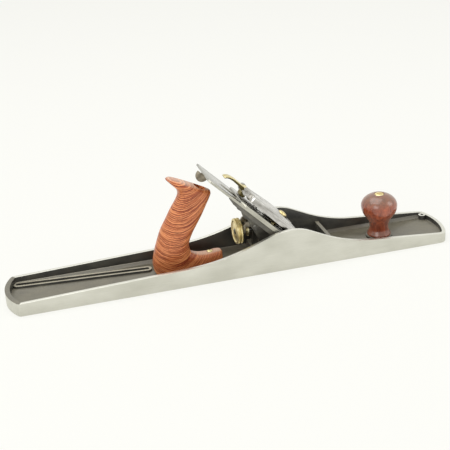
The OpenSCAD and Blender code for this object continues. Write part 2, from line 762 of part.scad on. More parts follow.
module lateral_lever() {
  low_s = lateral_s - lateral_low;
  color(steel) on_bed() difference() {
    union() {
      translate([0, 0, lateral_top - lateral_t]) linear_extrude(height = lateral_t) {
        slot_2d(low_s, lateral_s, lateral_w);
        polygon([
          [lateral_s, -lateral_w / 2], [lateral_tail_s, -lateral_tail_w / 2],
            [tab_s + 2, -lateral_tail_w / 2],
          [tab_s + 2, lateral_tail_w / 2], [lateral_tail_s, lateral_tail_w / 2], [lateral_s, lateral_w / 2]
        ]);
      }
      intersection() {
        translate([tab_s, 0, tab_t]) rotate([90, 0, 0])
          cylinder(r = tab_r, h = tab_thick, center = true, $fn = 64);
        translate([tab_s - tab_trim, -tab_trim / 2, lateral_top - tab_skin - tab_trim])
      cube([2 * tab_trim, tab_trim, tab_trim]);
      }
      translate([low_s, 0, lateral_top - eps])
        cylinder(r = roller_stud_r, h = roller_top - lateral_top + eps, $fn = 48);
    }
    translate([lateral_s, 0, -big / 2]) cylinder(r = rivet_r + run_clear, h = big, $fn = 48);
  }
}

module lateral_rivet() {
  under = -frog_plate_t - 1.2;
  color(steel) on_bed() translate([lateral_s, 0, 0]) {
    translate([0, 0, under]) cylinder(r = rivet_r, h = lateral_top - under, $fn = 48);
    translate([0, 0, under]) cylinder(r = rivet_head_r, h = 1.2, $fn = 48);
  }
}

module lateral_roller() {
  color(steel) on_bed() translate([lateral_s - lateral_low, 0, 0]) difference() {
    translate([0, 0, lateral_top + 0.1])
      cylinder(r = roller_r, h = roller_top - lateral_top - 0.1, $fn = 64);
    translate([0, 0, -2]) cylinder(r = roller_stud_r + run_clear, h = big, $fn = 48);
  }
}

module iron() {
  lift = edge_lift / sin(bed_angle);
  back = iron_t / tan(bed_angle);
  flat = iron_t / tan(bevel_angle);
  c = iron_corner;
  color(steel) on_bed() difference() {
    intersection() {
      upright(iron_w) polygon([
        [lift - back, iron_t], [lift - back + flat, 0], [iron_l, 0], [iron_l, iron_t]
      ]);
      translate([0, 0, -1]) linear_extrude(height = iron_t + 2) polygon([
        [-iron_over, -iron_w / 2], [iron_l - c, -iron_w / 2], [iron_l, -iron_w / 2 + c],
        [iron_l, iron_w / 2 - c], [iron_l - c, iron_w / 2], [-iron_over, iron_w / 2]
      ]);
    }
    translate([0, 0, -1]) linear_extrude(height = iron_t + 2)
      slot_2d(iron_slot_s0 + iron_slot_w / 2, iron_slot_s1 - iron_slot_w / 2, iron_slot_w);
  }
}

// The cap iron from the side: flat on the iron, then humped and down to the iron at its edge
module cap_iron_2d() {
  b = iron_t;
  h = cap_iron_t;
  n = 8;
  polygon(concat(
    [[cap_iron_l, b], [cap_iron_l, b + h], [hump_end, b + h]],
    [for (i = [1:n]) let (s = hump_end + (hump_s - hump_end) * i / n)
      [s, b + h + hump_rise * (1 - cos(180 * i / n)) / 2]],
    [[hump_s - 4, b + h + hump_rise - 1.1], [cap_edge_s, b + 0.5], [cap_edge_s, b], [cap_edge_s + 1, b]],
    [for (i = [0:n]) let (s = hump_s - 3 + (hump_end - hump_s + 3) * i / n)
      [s, b + 0.9 * hump_rise * (1 + cos(180 * i / n)) / 2]]
  ));
}

module cap_iron() {
  color(steel) on_bed() difference() {
    upright(iron_w) cap_iron_2d();
    translate([0, 0, iron_t - 1]) linear_extrude(height = cap_iron_t + 5) {
      slot_2d(cap_slot_s0, cap_slot_s1, cap_slot_w);
      translate([yoke_s - finger_window / 2, -finger_w / 2 - 0.4]) square([finger_window, finger_w + 0.8]);
      translate([cap_pocket_s, 0]) circle(r = cap_screw_r + run_clear, $fn = 48);
    }
    for (side = [-1, 1]) translate([cap_iron_l, side * iron_w / 2, 0]) rotate([0, 0, 45])
      cube([cap_iron_cut, cap_iron_cut, big], center = true);
  }
}

module cap_iron_screw() {
  color(steel) on_bed() translate([cap_pocket_s, 0, 0]) difference() {
    union() {
      translate([0, 0, -cap_screw_head_t]) cylinder(r = cap_screw_head_r, h = cap_screw_head_t, $fn = 64);
      translate([0, 0, -eps]) cylinder(r = cap_screw_r, h = iron_t + cap_iron_t, $fn = 48);
    }
    translate([0, 0, -cap_screw_head_t])
      cube([driver_w, 2 * cap_screw_head_r + 1, 2 * driver_deep], center = true);
  }
}

// The lever cap seen square to the bed
module lever_cap_2d() {
  k = cap_end_r;
  polygon(concat(
    [[cap_low_s, -cap_w / 2 + 2], [cap_low_s + 2, -cap_w / 2], [cap_waist_s0 - cap_sweep, -cap_w / 2]],
    [for (i = [1:10]) let (f = i / 10)
      [cap_waist_s0 - cap_sweep + (cap_waist_s1 - cap_waist_s0 + cap_sweep) * f,
        -cap_w / 2 + (cap_w - cap_top_w) / 2 * (1 - cos(180 * f)) / 2]],
    arc([cap_high_s - k, -cap_top_w / 2 + k], k, -90, 0, 6),
    arc([cap_high_s - k, cap_top_w / 2 - k], k, 0, 90, 6),
    [for (i = [10:-1:0]) let (f = i / 10)
      [cap_waist_s0 - cap_sweep + (cap_waist_s1 - cap_waist_s0 + cap_sweep) * f,
        cap_w / 2 - (cap_w - cap_top_w) / 2 * (1 - cos(180 * f)) / 2]],
    [[cap_low_s + 2, cap_w / 2], [cap_low_s, cap_w / 2 - 2]]
  ));
}

// Height of the cap's middle line at a place up the bed: up from the lip, over a hump, down to the ears
function cap_top(s) =
  let (lip = cap_lip_t + cap_lip_h)
  s < cap_bolt_s
    ? lip + (cap_seat_t - lip) * pow(sin(90 * (s - cap_low_s) / (cap_bolt_s - cap_low_s)), 0.85)
    : s < cap_peak_s
      ? cap_seat_t + (cap_crown - cap_seat_t) * (1
        - cos(180 * (s - cap_bolt_s) / (cap_peak_s - cap_bolt_s))) / 2
      : cap_end_t + (cap_crown - cap_end_t) * (1
        + cos(min(180, 180 * (s - cap_peak_s) / (cap_high_s - cap_peak_s)))) / 2;

// Crowned solid under the cap's middle line, lowered by a given skin
module cap_crown_block(skin) {
  intersection() {
    upright(cap_w + 2) polygon(concat(
      [[cap_low_s - 1, -big], [cap_low_s - 1, cap_lip_t + cap_lip_h - skin],
        [cap_low_s, cap_lip_t + cap_lip_h - skin]],
      [for (i = [1:26]) let (q = cap_low_s + (cap_high_s - cap_low_s) * i / 26) [q, cap_top(q) - skin]],
      [[pin_s + ear_r, cap_end_t - skin], [pin_s + ear_r, -big]]
    ));
    translate([-1, 0, cap_crown - cap_crown_r - skin]) rotate([0, 90, 0])
      cylinder(r = cap_crown_r, h = big, $fn = 180);
  }
}

module lever_cap() {
  rim = 3;
  color(steel) on_bed() difference() {
    union() {
      intersection() {
        translate([0, 0, cap_lip_t]) linear_extrude(height = cap_crown) lever_cap_2d();
        cap_crown_block(0);
      }
      for (side = [-1, 1]) translate([0, side * (ear_gap + ear_t) / 2, 0]) {
        translate([pin_s, 0, pin_t]) rotate([90, 0, 0])
          cylinder(r = ear_r, h = ear_t, center = true, $fn = 64);
        translate([cap_high_s - 6, -ear_t / 2, pin_t - ear_r + 0.6])
          cube([pin_s - cap_high_s + 6, ear_t, 2 * ear_r - 2]);
      }
    }
    // The hollow under the crown
    intersection() {
      translate([cap_low_s + cap_lip_l, -cap_w / 2 + rim, -1])
        cube([cap_high_s - cap_low_s - cap_lip_l - 4, cap_w - 2 * rim, big]);
      translate([0, 0, -1]) linear_extrude(height = big)
        translate([2.2, 0]) scale(0.9) translate([4, 0]) lever_cap_2d();
      cap_crown_block(cap_skin);
    }
    // The sides stand clear of the cap iron above the lip
    translate([cap_shoulder_s, -cap_w, -1]) cube([big, 2 * cap_w, cap_flange_t + 1]);
    upright(2 * cap_w) polygon([[cap_low_s + cap_lip_l + 2, 0], [cap_low_s + cap_lip_l + 2, cap_lip_t],
      [cap_shoulder_s + eps, cap_flange_t], [cap_shoulder_s + eps, 0]]);
    // The keyhole
    translate([0, 0, -1]) linear_extrude(height = big) {
      slot_2d(cap_bolt_s - cap_travel, cap_bolt_s, keyhole_w);
      translate([cap_bolt_s - cap_travel, 0]) circle(r = keyhole_r, $fn = 64);
    }
    // The flat seat that slides under the bolt's head
    translate([0, 0, cap_seat_t]) linear_extrude(height = big)
      slot_2d(cap_bolt_s - cap_travel, cap_bolt_s, 2 * (cap_bolt_head_r + cap_seat_spare));
    // The gap between the ears and the pin's hole
    translate([cap_high_s - 7.5, -ear_gap / 2, -1]) cube([big, ear_gap, big]);
    translate([pin_s, 0, pin_t]) rotate([90, 0, 0])
      cylinder(r = cam_pin_r + run_clear, h = cap_w, center = true, $fn = 48);
    translate([spring_rivet_s, 0, -1]) cylinder(r = spring_rivet_r + run_clear, h = big, $fn = 32);
  }
}

module lever_cap_screw() {
  color(brass) on_bed() translate([cap_bolt_s, 0, 0]) difference() {
    union() {
      translate([0, 0, bolt_tip_t]) cylinder(r = bolt_r, h = bolt_head_t - bolt_tip_t + 1, $fn = 48);
      translate([0, 0, bolt_head_t + 0.5]) rotate_extrude($fn = 64) polygon(concat(
        [[0, 0], [cap_bolt_head_r, 0]],
        [for (i = [0:8]) let (a = 90 * i / 8) [cap_bolt_head_r * cos(a),
          0.8 + (bolt_head_h - 0.8) * sin(a)]]
      ));
    }
    translate([0, 0, bolt_head_t + bolt_head_h + 0.5])
      cube([driver_w, 2 * cap_bolt_head_r + 2, 2 * driver_deep], center = true);
  }
}

module cap_spring() {
  color(steel) on_bed() difference() {
    translate([spring_s0, -spring_w / 2, spring_z]) cube([spring_s1 - spring_s0, spring_w, spring_t]);
    translate([spring_rivet_s, 0, 0]) cylinder(r = spring_rivet_r + run_clear, h = big, $fn = 32);
  }
}

module spring_rivet() {
  color(steel) on_bed() translate([spring_rivet_s, 0, 0]) {
    translate([0, 0, spring_z]) cylinder(r = spring_rivet_r,
      h = cap_top(spring_rivet_s) - spring_z - 0.3, $fn = 32);
    translate([0, 0, spring_z + spring_t])
      cylinder(r = spring_rivet_head_r,
        h = cap_top(spring_rivet_s + spring_rivet_head_r) - cap_skin - spring_z - spring_t - 0.1, $fn = 32);
  }
}

// The cam lever from the side: eye, cam foot and an arm that curls down at its tip
module cam_lever_2d() {
  translate([pin_s, pin_t]) circle(r = cam_eye_r, $fn = 64);
  polygon([
    [pin_s - cam_eye_r, pin_t], each arc([pin_s, pin_t], pin_t - cam_foot_t, -122, -76, 6),
      [pin_s + cam_eye_r, pin_t]
  ]);
  polygon([each cam_under, each cam_over]);
}

module cam_lever() {
  color(brass) on_bed() difference() {
    upright(cam_w) cam_lever_2d();
    translate([pin_s, 0, pin_t]) rotate([90, 0, 0])
      cylinder(r = cam_pin_r + run_clear, h = cam_w + 2, center = true, $fn = 48);
  }
}

module cam_pin() {
  color(steel) on_bed() translate([pin_s, 0, pin_t]) rotate([90, 0, 0])
    cylinder(r = cam_pin_r, h = ear_gap + 2 * ear_t + pin_over, center = true, $fn = 48);
}

// Places a piece on the line of the handle's rod, a given way up from its foot
module tote_rod_line(sink) {
  translate([rod_base_x, 0, rod_base_z]) rotate([0, tote_rod_tilt, 0]) translate([0, 0, -sink]) children();
}

// One ring of the handle between a rear and a front point
function tote_ring_points(i) =
  let (
    last = len(tote_rear) - 1,
    crown = i > last ? tote_crown[i - last - 1] : [0, 1, 1],
    a = tote_rear[min(i, last)],
    b = tote_front[min(i, last)],
    m = (a + b) / 2 + [a[1] - b[1], b[0] - a[0]] / norm(b - a) * crown[0],
    d = (b - a) / 2 * crown[1],
    w = tote_half[min(i, last)] * tote_t / 2 * crown[2],
    e = 2 / tote_squareness
  )
  [for (k = [0:tote_ring - 1]) let (
      u = 360 * k / tote_ring,
      c = sign(cos(u)) * pow(abs(cos(u)), e),
      s = sign(sin(u)) * pow(abs(sin(u)), e)
    ) [m[0] + d[0] * c, w * s, m[1] + d[1] * c]];

module tote_grip() {
  rings = len(tote_rear) + len(tote_crown);
  n = tote_ring;
  points = [for (i = [0:rings - 1]) each tote_ring_points(i)];
  faces = concat(
    [[for (k = [0:n - 1]) k]],
    [for (i = [0:rings - 2]) for (k = [0:n - 1]) let (a = i * n + k, b = i * n + (k + 1) % n) each
      [[a, a + n, b], [b, a + n, b + n]]],
    [[for (k = [n - 1:-1:0]) (rings - 1) * n + k]]
  );
  polyhedron(points = points, faces = faces);
}

module tote_toe() {
  h = tote_toe_h;
  w = tote_toe_w;
  intersection() {
    upright(tote_t) polygon([
      [-tote_toe_l - toe_hidden, 0], [0, 0], [0, h - 5], [-1, h - 2], [-3.5, h + 0.3], [-9, h + 0.4],
        [-18, h - 0.6],
      [-28, h - 0.2], [-35, h + 1.6], [-tote_toe_l - toe_hidden, h + 10]
    ]);
    linear_extrude(height = big) union() {
      translate([-tote_toe_l - toe_hidden, -w / 2]) square([tote_toe_l + toe_hidden - w / 2, w]);
      translate([-w / 2, 0]) circle(d = w, $fn = 64);
    }
  }
}

module tote() {
  color(handle_wood) difference() {
    translate([tote_x, 0, floor_t]) union() {
      tote_grip();
      tote_toe();
    }
    tote_rod_line(5) cylinder(r = rod_r + lay_gap, h = big, $fn = 48);
    tote_rod_line(0) translate([0, 0, tote_nut_at - lay_gap]) cylinder(r = recess_r, h = big, $fn = 64);
    tote_rod_line(0) translate([0, 0, tote_nut_at - nut_sleeve_l - lay_gap])
      cylinder(r = nut_sleeve_r + lay_gap, h = big, $fn = 64);
    translate([rod_base_x, 0, floor_t - 1])
      cylinder(r = boss_r + lay_gap, h = boss_h + 1 + lay_gap, $fn = 64);
    // The screw's hole and its seat end in the open air over the toe, well under the grip's nose
    translate([tote_x - tote_screw_back, 0, 0])
      cylinder(r = tote_screw_r + lay_gap, h = floor_t + toe_open_h, $fn = 48);
    translate([tote_x - tote_screw_back, 0, floor_t + tote_toe_h - tote_screw_sunk])
      cylinder(r = tote_screw_head_r + lay_gap, h = toe_open_h - tote_toe_h, $fn = 48);
  }
}

module tote_rod() {
  color(steel) tote_rod_line(0) translate([0, 0, 1]) cylinder(r = rod_r, h = rod_l - nut_cover, $fn = 48);
}

// Brass nut with a domed slotted head on a thinner sleeve
module round_nut(sleeve, dome) {
  difference() {
    union() {
      translate([0, 0, -sleeve]) cylinder(r = nut_sleeve_r, h = sleeve + eps, $fn = 64);
      rotate_extrude($fn = 64) polygon(concat(
        [[0, 0], [nut_r, 0], [nut_r, nut_rim_t]],
        [for (i = [1:6]) let (a = 90 * i / 6) [nut_r * cos(a), nut_rim_t + dome * sin(a)]]
      ));
    }
    translate([0, 0, -sleeve - 1]) cylinder(r = rod_r + run_clear, h = sleeve + 1.4, $fn = 48);
    translate([0, 0, nut_rim_t + dome]) cube([2 * nut_r + 1, nut_slot, 2 * nut_slot_deep], center = true);
  }
}

module tote_nut() {
  color(brass) tote_rod_line(0) translate([0, 0, tote_nut_at]) round_nut(nut_sleeve_l, 1.4);
}

module tote_screw() {
  z = floor_t + tote_toe_h - tote_screw_sunk;
  color(brass) translate([tote_x - tote_screw_back, 0, 0]) difference() {
    union() {
      translate([0, 0, floor_t - tote_screw_in])
      cylinder(r = tote_screw_r, h = z - floor_t + tote_screw_in + eps, $fn = 48);
      translate([0, 0, z]) rotate_extrude($fn = 48) polygon(concat(
        [[0, 0], [tote_screw_head_r, 0]],
        [for (i = [0:6]) let (a = 90 * i / 6) [tote_screw_head_r * cos(a),
          tote_screw_rim_t + tote_screw_head_h * sin(a)]]
      ));
    }
    translate([0, 0, z + tote_screw_rim_t + tote_screw_head_h])
      cube([driver_w, 2 * tote_screw_head_r + 1, 2 * driver_deep], center = true);
  }
}

// Outline of the turned knob from its foot to its crown
function knob_points() = concat(
    [[0, 0], [knob_foot_r - knob_round, 0], [knob_foot_r, knob_round], [knob_foot_r, knob_edge_h]],
    [for (p = knob_swell) [knob_waist_r + p[0], p[1] * knob_belly_h]],
    [for (i = [0:10]) let (a = 9 * i) [knob_r * cos(a), knob_belly_h + knob_crown_h * sin(a)]]
  );

module knob() {
  color(knob_wood) translate([knob_x, 0, knob_z]) difference() {
    rotate_extrude($fn = 96) polygon(knob_points());
    translate([0, 0, -1]) cylinder(r = rod_r + lay_gap, h = big, $fn = 48);
    translate([0, 0, -1]) cylinder(r = pilot_r + lay_gap, h = pilot_h + 1 + lay_gap, $fn = 48);
    translate([0, 0, knob_nut_at - lay_gap]) cylinder(r = nut_r + lay_gap, h = big, $fn = 64);
    translate([0, 0, knob_nut_at - nut_sleeve_l - lay_gap])
      cylinder(r = nut_sleeve_r + lay_gap, h = big, $fn = 64);
  }
}

module knob_rod() {
  color(steel) translate([knob_x, 0, knob_z - screw_depth + 0.5])
    cylinder(r = rod_r, h = knob_rod_top + screw_depth - 0.5, $fn = 48);
}

module knob_nut() {
  color(brass) translate([knob_x, 0, knob_z + knob_nut_at]) round_nut(nut_sleeve_l, 1.6);
}

body_casting();
frog();
frog_screws();
frog_washers();
frog_clip();
frog_clip_screw();
frog_adjusting_screw();
depth_stud();
depth_wheel();
yoke();
yoke_pin();
lateral_lever();
lateral_rivet();
lateral_roller();
iron();
cap_iron();
cap_iron_screw();
lever_cap();
lever_cap_screw();
cap_spring();
spring_rivet();
cam_lever();
cam_pin();
tote();
tote_rod();
tote_nut();
tote_screw();
knob();
knob_rod();
knob_nut();
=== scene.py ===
"""Looks of an iron jointer plane: ground and enamelled castings, a steel cutter under a plated lever cap,
brass fittings, a carved rear handle and a turned front knob.

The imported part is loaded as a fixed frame. A solid whose edges are softer on the real tool is copied from
the frame and rounded here, and the two handles, the wheel and its knurls are modelled again. Sizes are
written in millimetres, in the frame's own axes, and MM turns them into the metres of the scene.
"""

import json
import logging
import math
from dataclasses import dataclass
from enum import Enum

import bmesh
import bpy
from mathutils import Matrix, Vector

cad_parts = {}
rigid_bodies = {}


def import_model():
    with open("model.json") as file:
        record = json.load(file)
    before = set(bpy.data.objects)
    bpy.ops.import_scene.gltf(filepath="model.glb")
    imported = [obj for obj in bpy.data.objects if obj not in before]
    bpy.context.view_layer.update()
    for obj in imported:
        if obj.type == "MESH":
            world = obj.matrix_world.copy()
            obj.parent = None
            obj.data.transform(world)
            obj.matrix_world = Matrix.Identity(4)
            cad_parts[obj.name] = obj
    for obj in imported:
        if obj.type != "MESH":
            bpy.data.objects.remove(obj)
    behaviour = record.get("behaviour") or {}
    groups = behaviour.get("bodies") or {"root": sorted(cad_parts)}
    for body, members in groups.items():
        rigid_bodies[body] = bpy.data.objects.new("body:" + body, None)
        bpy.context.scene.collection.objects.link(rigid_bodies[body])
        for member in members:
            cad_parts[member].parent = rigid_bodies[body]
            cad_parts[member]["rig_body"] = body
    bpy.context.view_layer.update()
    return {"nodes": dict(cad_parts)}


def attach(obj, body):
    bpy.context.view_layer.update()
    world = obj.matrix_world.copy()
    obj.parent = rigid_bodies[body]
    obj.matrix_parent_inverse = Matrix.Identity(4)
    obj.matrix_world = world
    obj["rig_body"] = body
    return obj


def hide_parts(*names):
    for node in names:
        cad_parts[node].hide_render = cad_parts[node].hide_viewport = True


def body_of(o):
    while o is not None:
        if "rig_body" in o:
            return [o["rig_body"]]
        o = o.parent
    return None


log = logging.getLogger("jointer_plane")
logging.basicConfig(level=logging.INFO, format="%(name)s: %(message)s")

MM = 0.001
BED_ANGLE = math.radians(45)
# Top of the bed's floor, in millimetres
FLOOR = 6.0
# Points closer than this are one point, in metres, and faces that meet at less than this are one face
SAME = 1e-6
FLAT = math.radians(0.5)
# Most values of a noise texture lie between these two
NOISE_LOW = 0.3
NOISE_HIGH = 0.7


class Body(Enum):
    """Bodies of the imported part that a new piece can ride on."""

    PLANE = "plane_body"
    WHEEL = "wheel"


class Slot(Enum):
    """Material slots of the record."""

    BODY = "cast_body"
    FROG = "cast_frog"
    STEEL = "steel"
    YOKE = "yoke_iron"
    DARK = "dark_steel"
    CUTTER = "cutter_steel"
    CAP = "cap_plate"
    BRASS = "brass"
    TOTE = "tote_wood"
    KNOB = "knob_wood"


class Skin(Enum):
    """How a face of the bed casting is finished, by the number of its material."""

    GROUND = 0
    ENAMEL = 1
    RIM = 2
    RIB = 3


def srgb(hex_code: str) -> tuple[float, float, float, float]:
    """Turns an sRGB hex colour into the linear colour that a shader takes.

    Args:
        hex_code: Six hex digits, such as "c8c4b6".

    Returns:
        Linear red, green and blue, and an alpha of 1.
    """
    channels = [int(hex_code[i:i + 2], 16) / 255 for i in (0, 2, 4)]
    linear = [c / 12.92 if c <= 0.04045 else ((c + 0.055) / 1.055) ** 2.4 for c in channels]
    return (linear[0], linear[1], linear[2], 1.0)


def per_mm(size: float) -> float:
    """Gives the texture scale at which one feature of a pattern measures a size.

    Args:
        size: The feature's real size in millimetres.

    Returns:
        The scale for a texture that reads coordinates in metres.
    """
    return 1 / (size * MM)


def add(tree: bpy.types.NodeTree, kind: str, inputs: dict | None = None,
        **settings: str | bool) -> bpy.types.Node:
    """Adds one shader node.

    Args:
        tree: The material's node tree.
        kind: The node's type after "ShaderNode".
        inputs: Values or sockets for the node's inputs, by name or number.
        **settings: The node's own settings.

    Returns:
        The new node.
    """
    made = tree.nodes.new("ShaderNode" + kind)
    for name, value in settings.items():
        setattr(made, name, value)
    for name, value in (inputs or {}).items():
        if isinstance(value, bpy.types.NodeSocket):
            tree.links.new(value, made.inputs[name])
        else:
            made.inputs[name].default_value = value
    return made


def placed(name: str, data: bpy.types.ID) -> bpy.types.Object:
    """Puts a mesh, lamp or camera into the scene.

    Args:
        name: The object's name.
        data: Its data.

    Returns:
        The new object.
    """
    holder = bpy.data.objects.new(name, data)
    bpy.context.scene.collection.objects.link(holder)
    return holder


@dataclass(frozen=True)
class Finish:
    """One real surface: its colours and the look of its gloss."""

    name: str
    colour: str
    second: str
    metallic: float = 0.0
    roughness: float = 0.4
    coat: float = 0.0
    coat_roughness: float = 0.12

    def start(self) -> tuple[bpy.types.Material, bpy.types.Node, bpy.types.NodeSocket]:
        """Starts the material.

        Returns:
            The material, its shader node and the socket of the place in the object's own axes.
        """
        material = bpy.data.materials.new(self.name)
        material.use_nodes = True
        tree = material.node_tree
        shader = tree.nodes["Principled BSDF"]
        shader.inputs["Metallic"].default_value = self.metallic
        shader.inputs["Roughness"].default_value = self.roughness
        shader.inputs["Coat Weight"].default_value = self.coat
        shader.inputs["Coat Roughness"].default_value = self.coat_roughness
        return material, shader, add(tree, "TexCoord").outputs["Object"]

    def stretched(self, tree: bpy.types.NodeTree, place: bpy.types.NodeSocket,
                  longer: tuple[float, float, float], size: float, detail: float,
                  turn: float = 0.0) -> bpy.types.NodeSocket:
        """Adds noise that is drawn out along chosen axes.

        Args:
            tree: The material's node tree.
            place: The socket of the place.
            longer: How many times longer the noise is along each axis.
            size: The size of the noise across its length, in millimetres.
            detail: The noise's detail.
            turn: How far the axes are turned about Y, in radians.

        Returns:
            The socket of the noise's value.
        """
        turned = add(tree, "Mapping", {"Vector": place, "Scale": longer, "Rotation": (0, turn, 0)},
                     vector_type="TEXTURE")
        return add(tree, "TexNoise", {
            "Vector": turned.outputs[0], "Scale": per_mm(size), "Detail": detail,
        }).outputs[0]

    def blend(self, tree: bpy.types.NodeTree, factor: bpy.types.NodeSocket, low: float,
              high: float) -> bpy.types.NodeSocket:
        """Mixes the finish's two colours.

        Args:
            tree: The material's node tree.
            factor: The socket that chooses between the colours.
            low: The factor at and under which the first colour shows.
            high: The factor at and over which the second colour shows.

        Returns:
            The socket of the colour.
        """
        ramp = add(tree, "ValToRGB", {"Fac": factor})
        ramp.color_ramp.elements[0].position = low
        ramp.color_ramp.elements[0].color = srgb(self.colour)
        ramp.color_ramp.elements[1].position = high
        ramp.color_ramp.elements[1].color = srgb(self.second)
        return ramp.outputs[0]

    def facing_up(self, tree: bpy.types.NodeTree, low: float, high: float,
                  most: float = 1.0) -> bpy.types.NodeSocket:
        """Measures how far a face looks up.

        Args:
            tree: The material's node tree.
            low: The upright part of the normal at and under which the result is 0.
            high: The upright part of the normal at and over which the result is the most.
            most: The largest result.

        Returns:
            The socket of the result.
        """
        normal = add(tree, "SeparateXYZ", {0: add(tree, "TexCoord").outputs["Normal"]})
        return add(tree, "MapRange", {
            "Value": normal.outputs[2], "From Min": low, "From Max": high, "To Max": most,
        }).outputs[0]

    def cover(self, tree: bpy.types.NodeTree, shader: bpy.types.Node, share: bpy.types.NodeSocket,
              colours: tuple[bpy.types.NodeSocket | tuple, bpy.types.NodeSocket | tuple]) -> None:
        """Gives the shader one colour with another over it.

        Args:
            tree: The material's node tree.
            shader: The shader node.
            share: The socket of the share of the colour on top.
            colours: The colour underneath and the one on top.
        """
        mixed = add(tree, "Mix", {0: share, 6: colours[0], 7: colours[1]}, data_type="RGBA")
        tree.links.new(mixed.outputs[2], shader.inputs["Base Color"])

    def gloss(self, tree: bpy.types.NodeTree, shader: bpy.types.Node, factor: bpy.types.NodeSocket,
              spread: float) -> None:
        """Varies the roughness about its typical value.

        Args:
            tree: The material's node tree.
            shader: The shader node.
            factor: The socket that varies it, about 0.5.
            spread: How far the roughness goes each way.
        """
        varied = add(tree, "MapRange", {
            "Value": factor, "From Min": NOISE_LOW, "From Max": NOISE_HIGH,
            "To Min": self.roughness - spread, "To Max": self.roughness + spread,
        })
        tree.links.new(varied.outputs[0], shader.inputs["Roughness"])

    def relief(self, tree: bpy.types.NodeTree, shader: bpy.types.Node, height: bpy.types.NodeSocket,
               depth: float, strength: float = 1.0) -> None:
        """Adds a fine relief.

        Args:
            tree: The material's node tree.
            shader: The shader node.
            height: The socket of the height.
            depth: The relief's real depth in millimetres.
            strength: How strongly it shows.
        """
        bump = add(tree, "Bump", {"Height": height, "Distance": depth * MM, "Strength": strength})
        tree.links.new(bump.outputs[0], shader.inputs["Normal"])


@dataclass(frozen=True)
class GroundMetal(Finish):
    """Metal that a wheel or belt has ground or brushed along one direction."""

    along: tuple[float, float, float] = (50.0, 1.0, 1.0)
    turn: float = 0.0
    line: float = 0.5
    lines: float = 0.35
    depth: float = 0.006
    stain: float = 22.0
    spread: float = 0.05

    def dress(self) -> bpy.types.Material:
        """Makes the material.

        Returns:
            The material, with faint stains, fine lines from the grinding and a roughness that varies.
        """
        material, shader, place = self.start()
        tree = material.node_tree
        stains = self.stretched(tree, place, (2, 1, 1), self.stain, detail=6, turn=self.turn)
        lines = self.stretched(tree, place, self.along, self.line, detail=4, turn=self.turn)
        both = add(tree, "Mix", {0: self.lines, 2: stains, 3: lines}, data_type="FLOAT")
        colour = self.blend(tree, both.outputs[0], NOISE_LOW, NOISE_HIGH)
        tree.links.new(colour, shader.inputs["Base Color"])
        self.gloss(tree, shader, lines, self.spread)
        self.relief(tree, shader, lines, self.depth)
        return material


@dataclass(frozen=True)
class CastEnamel(Finish):
    """Cast iron under baked black enamel, which rounds off the grain of the sand mould."""

    # Pale colour on faces that look up: partly dust, partly painted sheen and highlight
    dust_and_sheen: str = "746f5e"
    dust_and_sheen_most: float = 0.85
    ior: float = 1.7
    grain: float = 1.4
    depth: float = 0.05
    patch: float = 11.0
    spread: float = 0.06

    def dress(self) -> bpy.types.Material:
        """Makes the material.

        Returns:
            The material, black with a soft uneven surface, paler on what faces up: partly fine dust, partly
            painted sheen.
        """
        material, shader, place = self.start()
        tree = material.node_tree
        shader.inputs["IOR"].default_value = self.ior
        patches = self.stretched(tree, place, (2, 1, 1), self.patch, detail=5)
        grain = self.stretched(tree, place, (1, 1, 1), self.grain, detail=2)
        speckle = add(tree, "Mix", {0: 0.5, 2: patches, 3: grain}, data_type="FLOAT").outputs[0]
        # Dust and painted sheen: faces that look up take the pale colour
        dust_and_sheen_mask = self.facing_up(tree, low=0.35, high=0.8, most=self.dust_and_sheen_most)
        uneven = add(tree, "MapRange", {
            "Value": speckle, "From Min": NOISE_LOW, "From Max": NOISE_HIGH, "To Min": 0.6, "To Max": 1.2,
        })
        share = add(tree, "Math", {0: dust_and_sheen_mask, 1: uneven.outputs[0]}, operation="MULTIPLY", use_clamp=True)
        enamel = self.blend(tree, patches, low=0.42, high=0.7)
        self.cover(tree, shader, share.outputs[0], (enamel, srgb(self.dust_and_sheen)))
        self.gloss(tree, shader, patches, self.spread)
        self.relief(tree, shader, grain, self.depth, strength=0.6)
        return material


@dataclass(frozen=True)
class SmoothMetal(Finish):
    """Polished or plated metal with a little handling wear."""

    haze: float = 6.0
    scratch: float = 0.35
    depth: float = 0.004
    spread: float = 0.06

    def dress(self) -> bpy.types.Material:
        """Makes the material.

        Returns:
            The material, with faint cloudy patches in its colour and gloss.
        """
        material, shader, place = self.start()
        tree = material.node_tree
        haze = self.stretched(tree, place, (1, 1, 1), self.haze, detail=5)
        fine = self.stretched(tree, place, (1, 1, 1), self.scratch, detail=2)
        tree.links.new(self.blend(tree, haze, low=0.4, high=0.68), shader.inputs["Base Color"])
        self.gloss(tree, shader, haze, self.spread)
        self.relief(tree, shader, fine, self.depth)
        return material


@dataclass(frozen=True)
class BrassWithPaintedShade(SmoothMetal):
    """Cast brass with painted light: bright on top, and a painted brown shade where it faces down or away."""

    painted_shade: str = "5f5636"

    def dress(self) -> bpy.types.Material:
        """Makes the material.

        Returns:
            The material, whose colour goes to the painted shade on faces that point down or to the sides.
        """
        material = super().dress()
        tree = material.node_tree
        shader = tree.nodes["Principled BSDF"]
        bright = shader.inputs["Base Color"].links[0].from_socket
        # Painted shade: faces that point down or to the sides go to the dark brown
        self.cover(tree, shader, self.facing_up(tree, low=0.1, high=0.75), (srgb(self.painted_shade), bright))
        return material


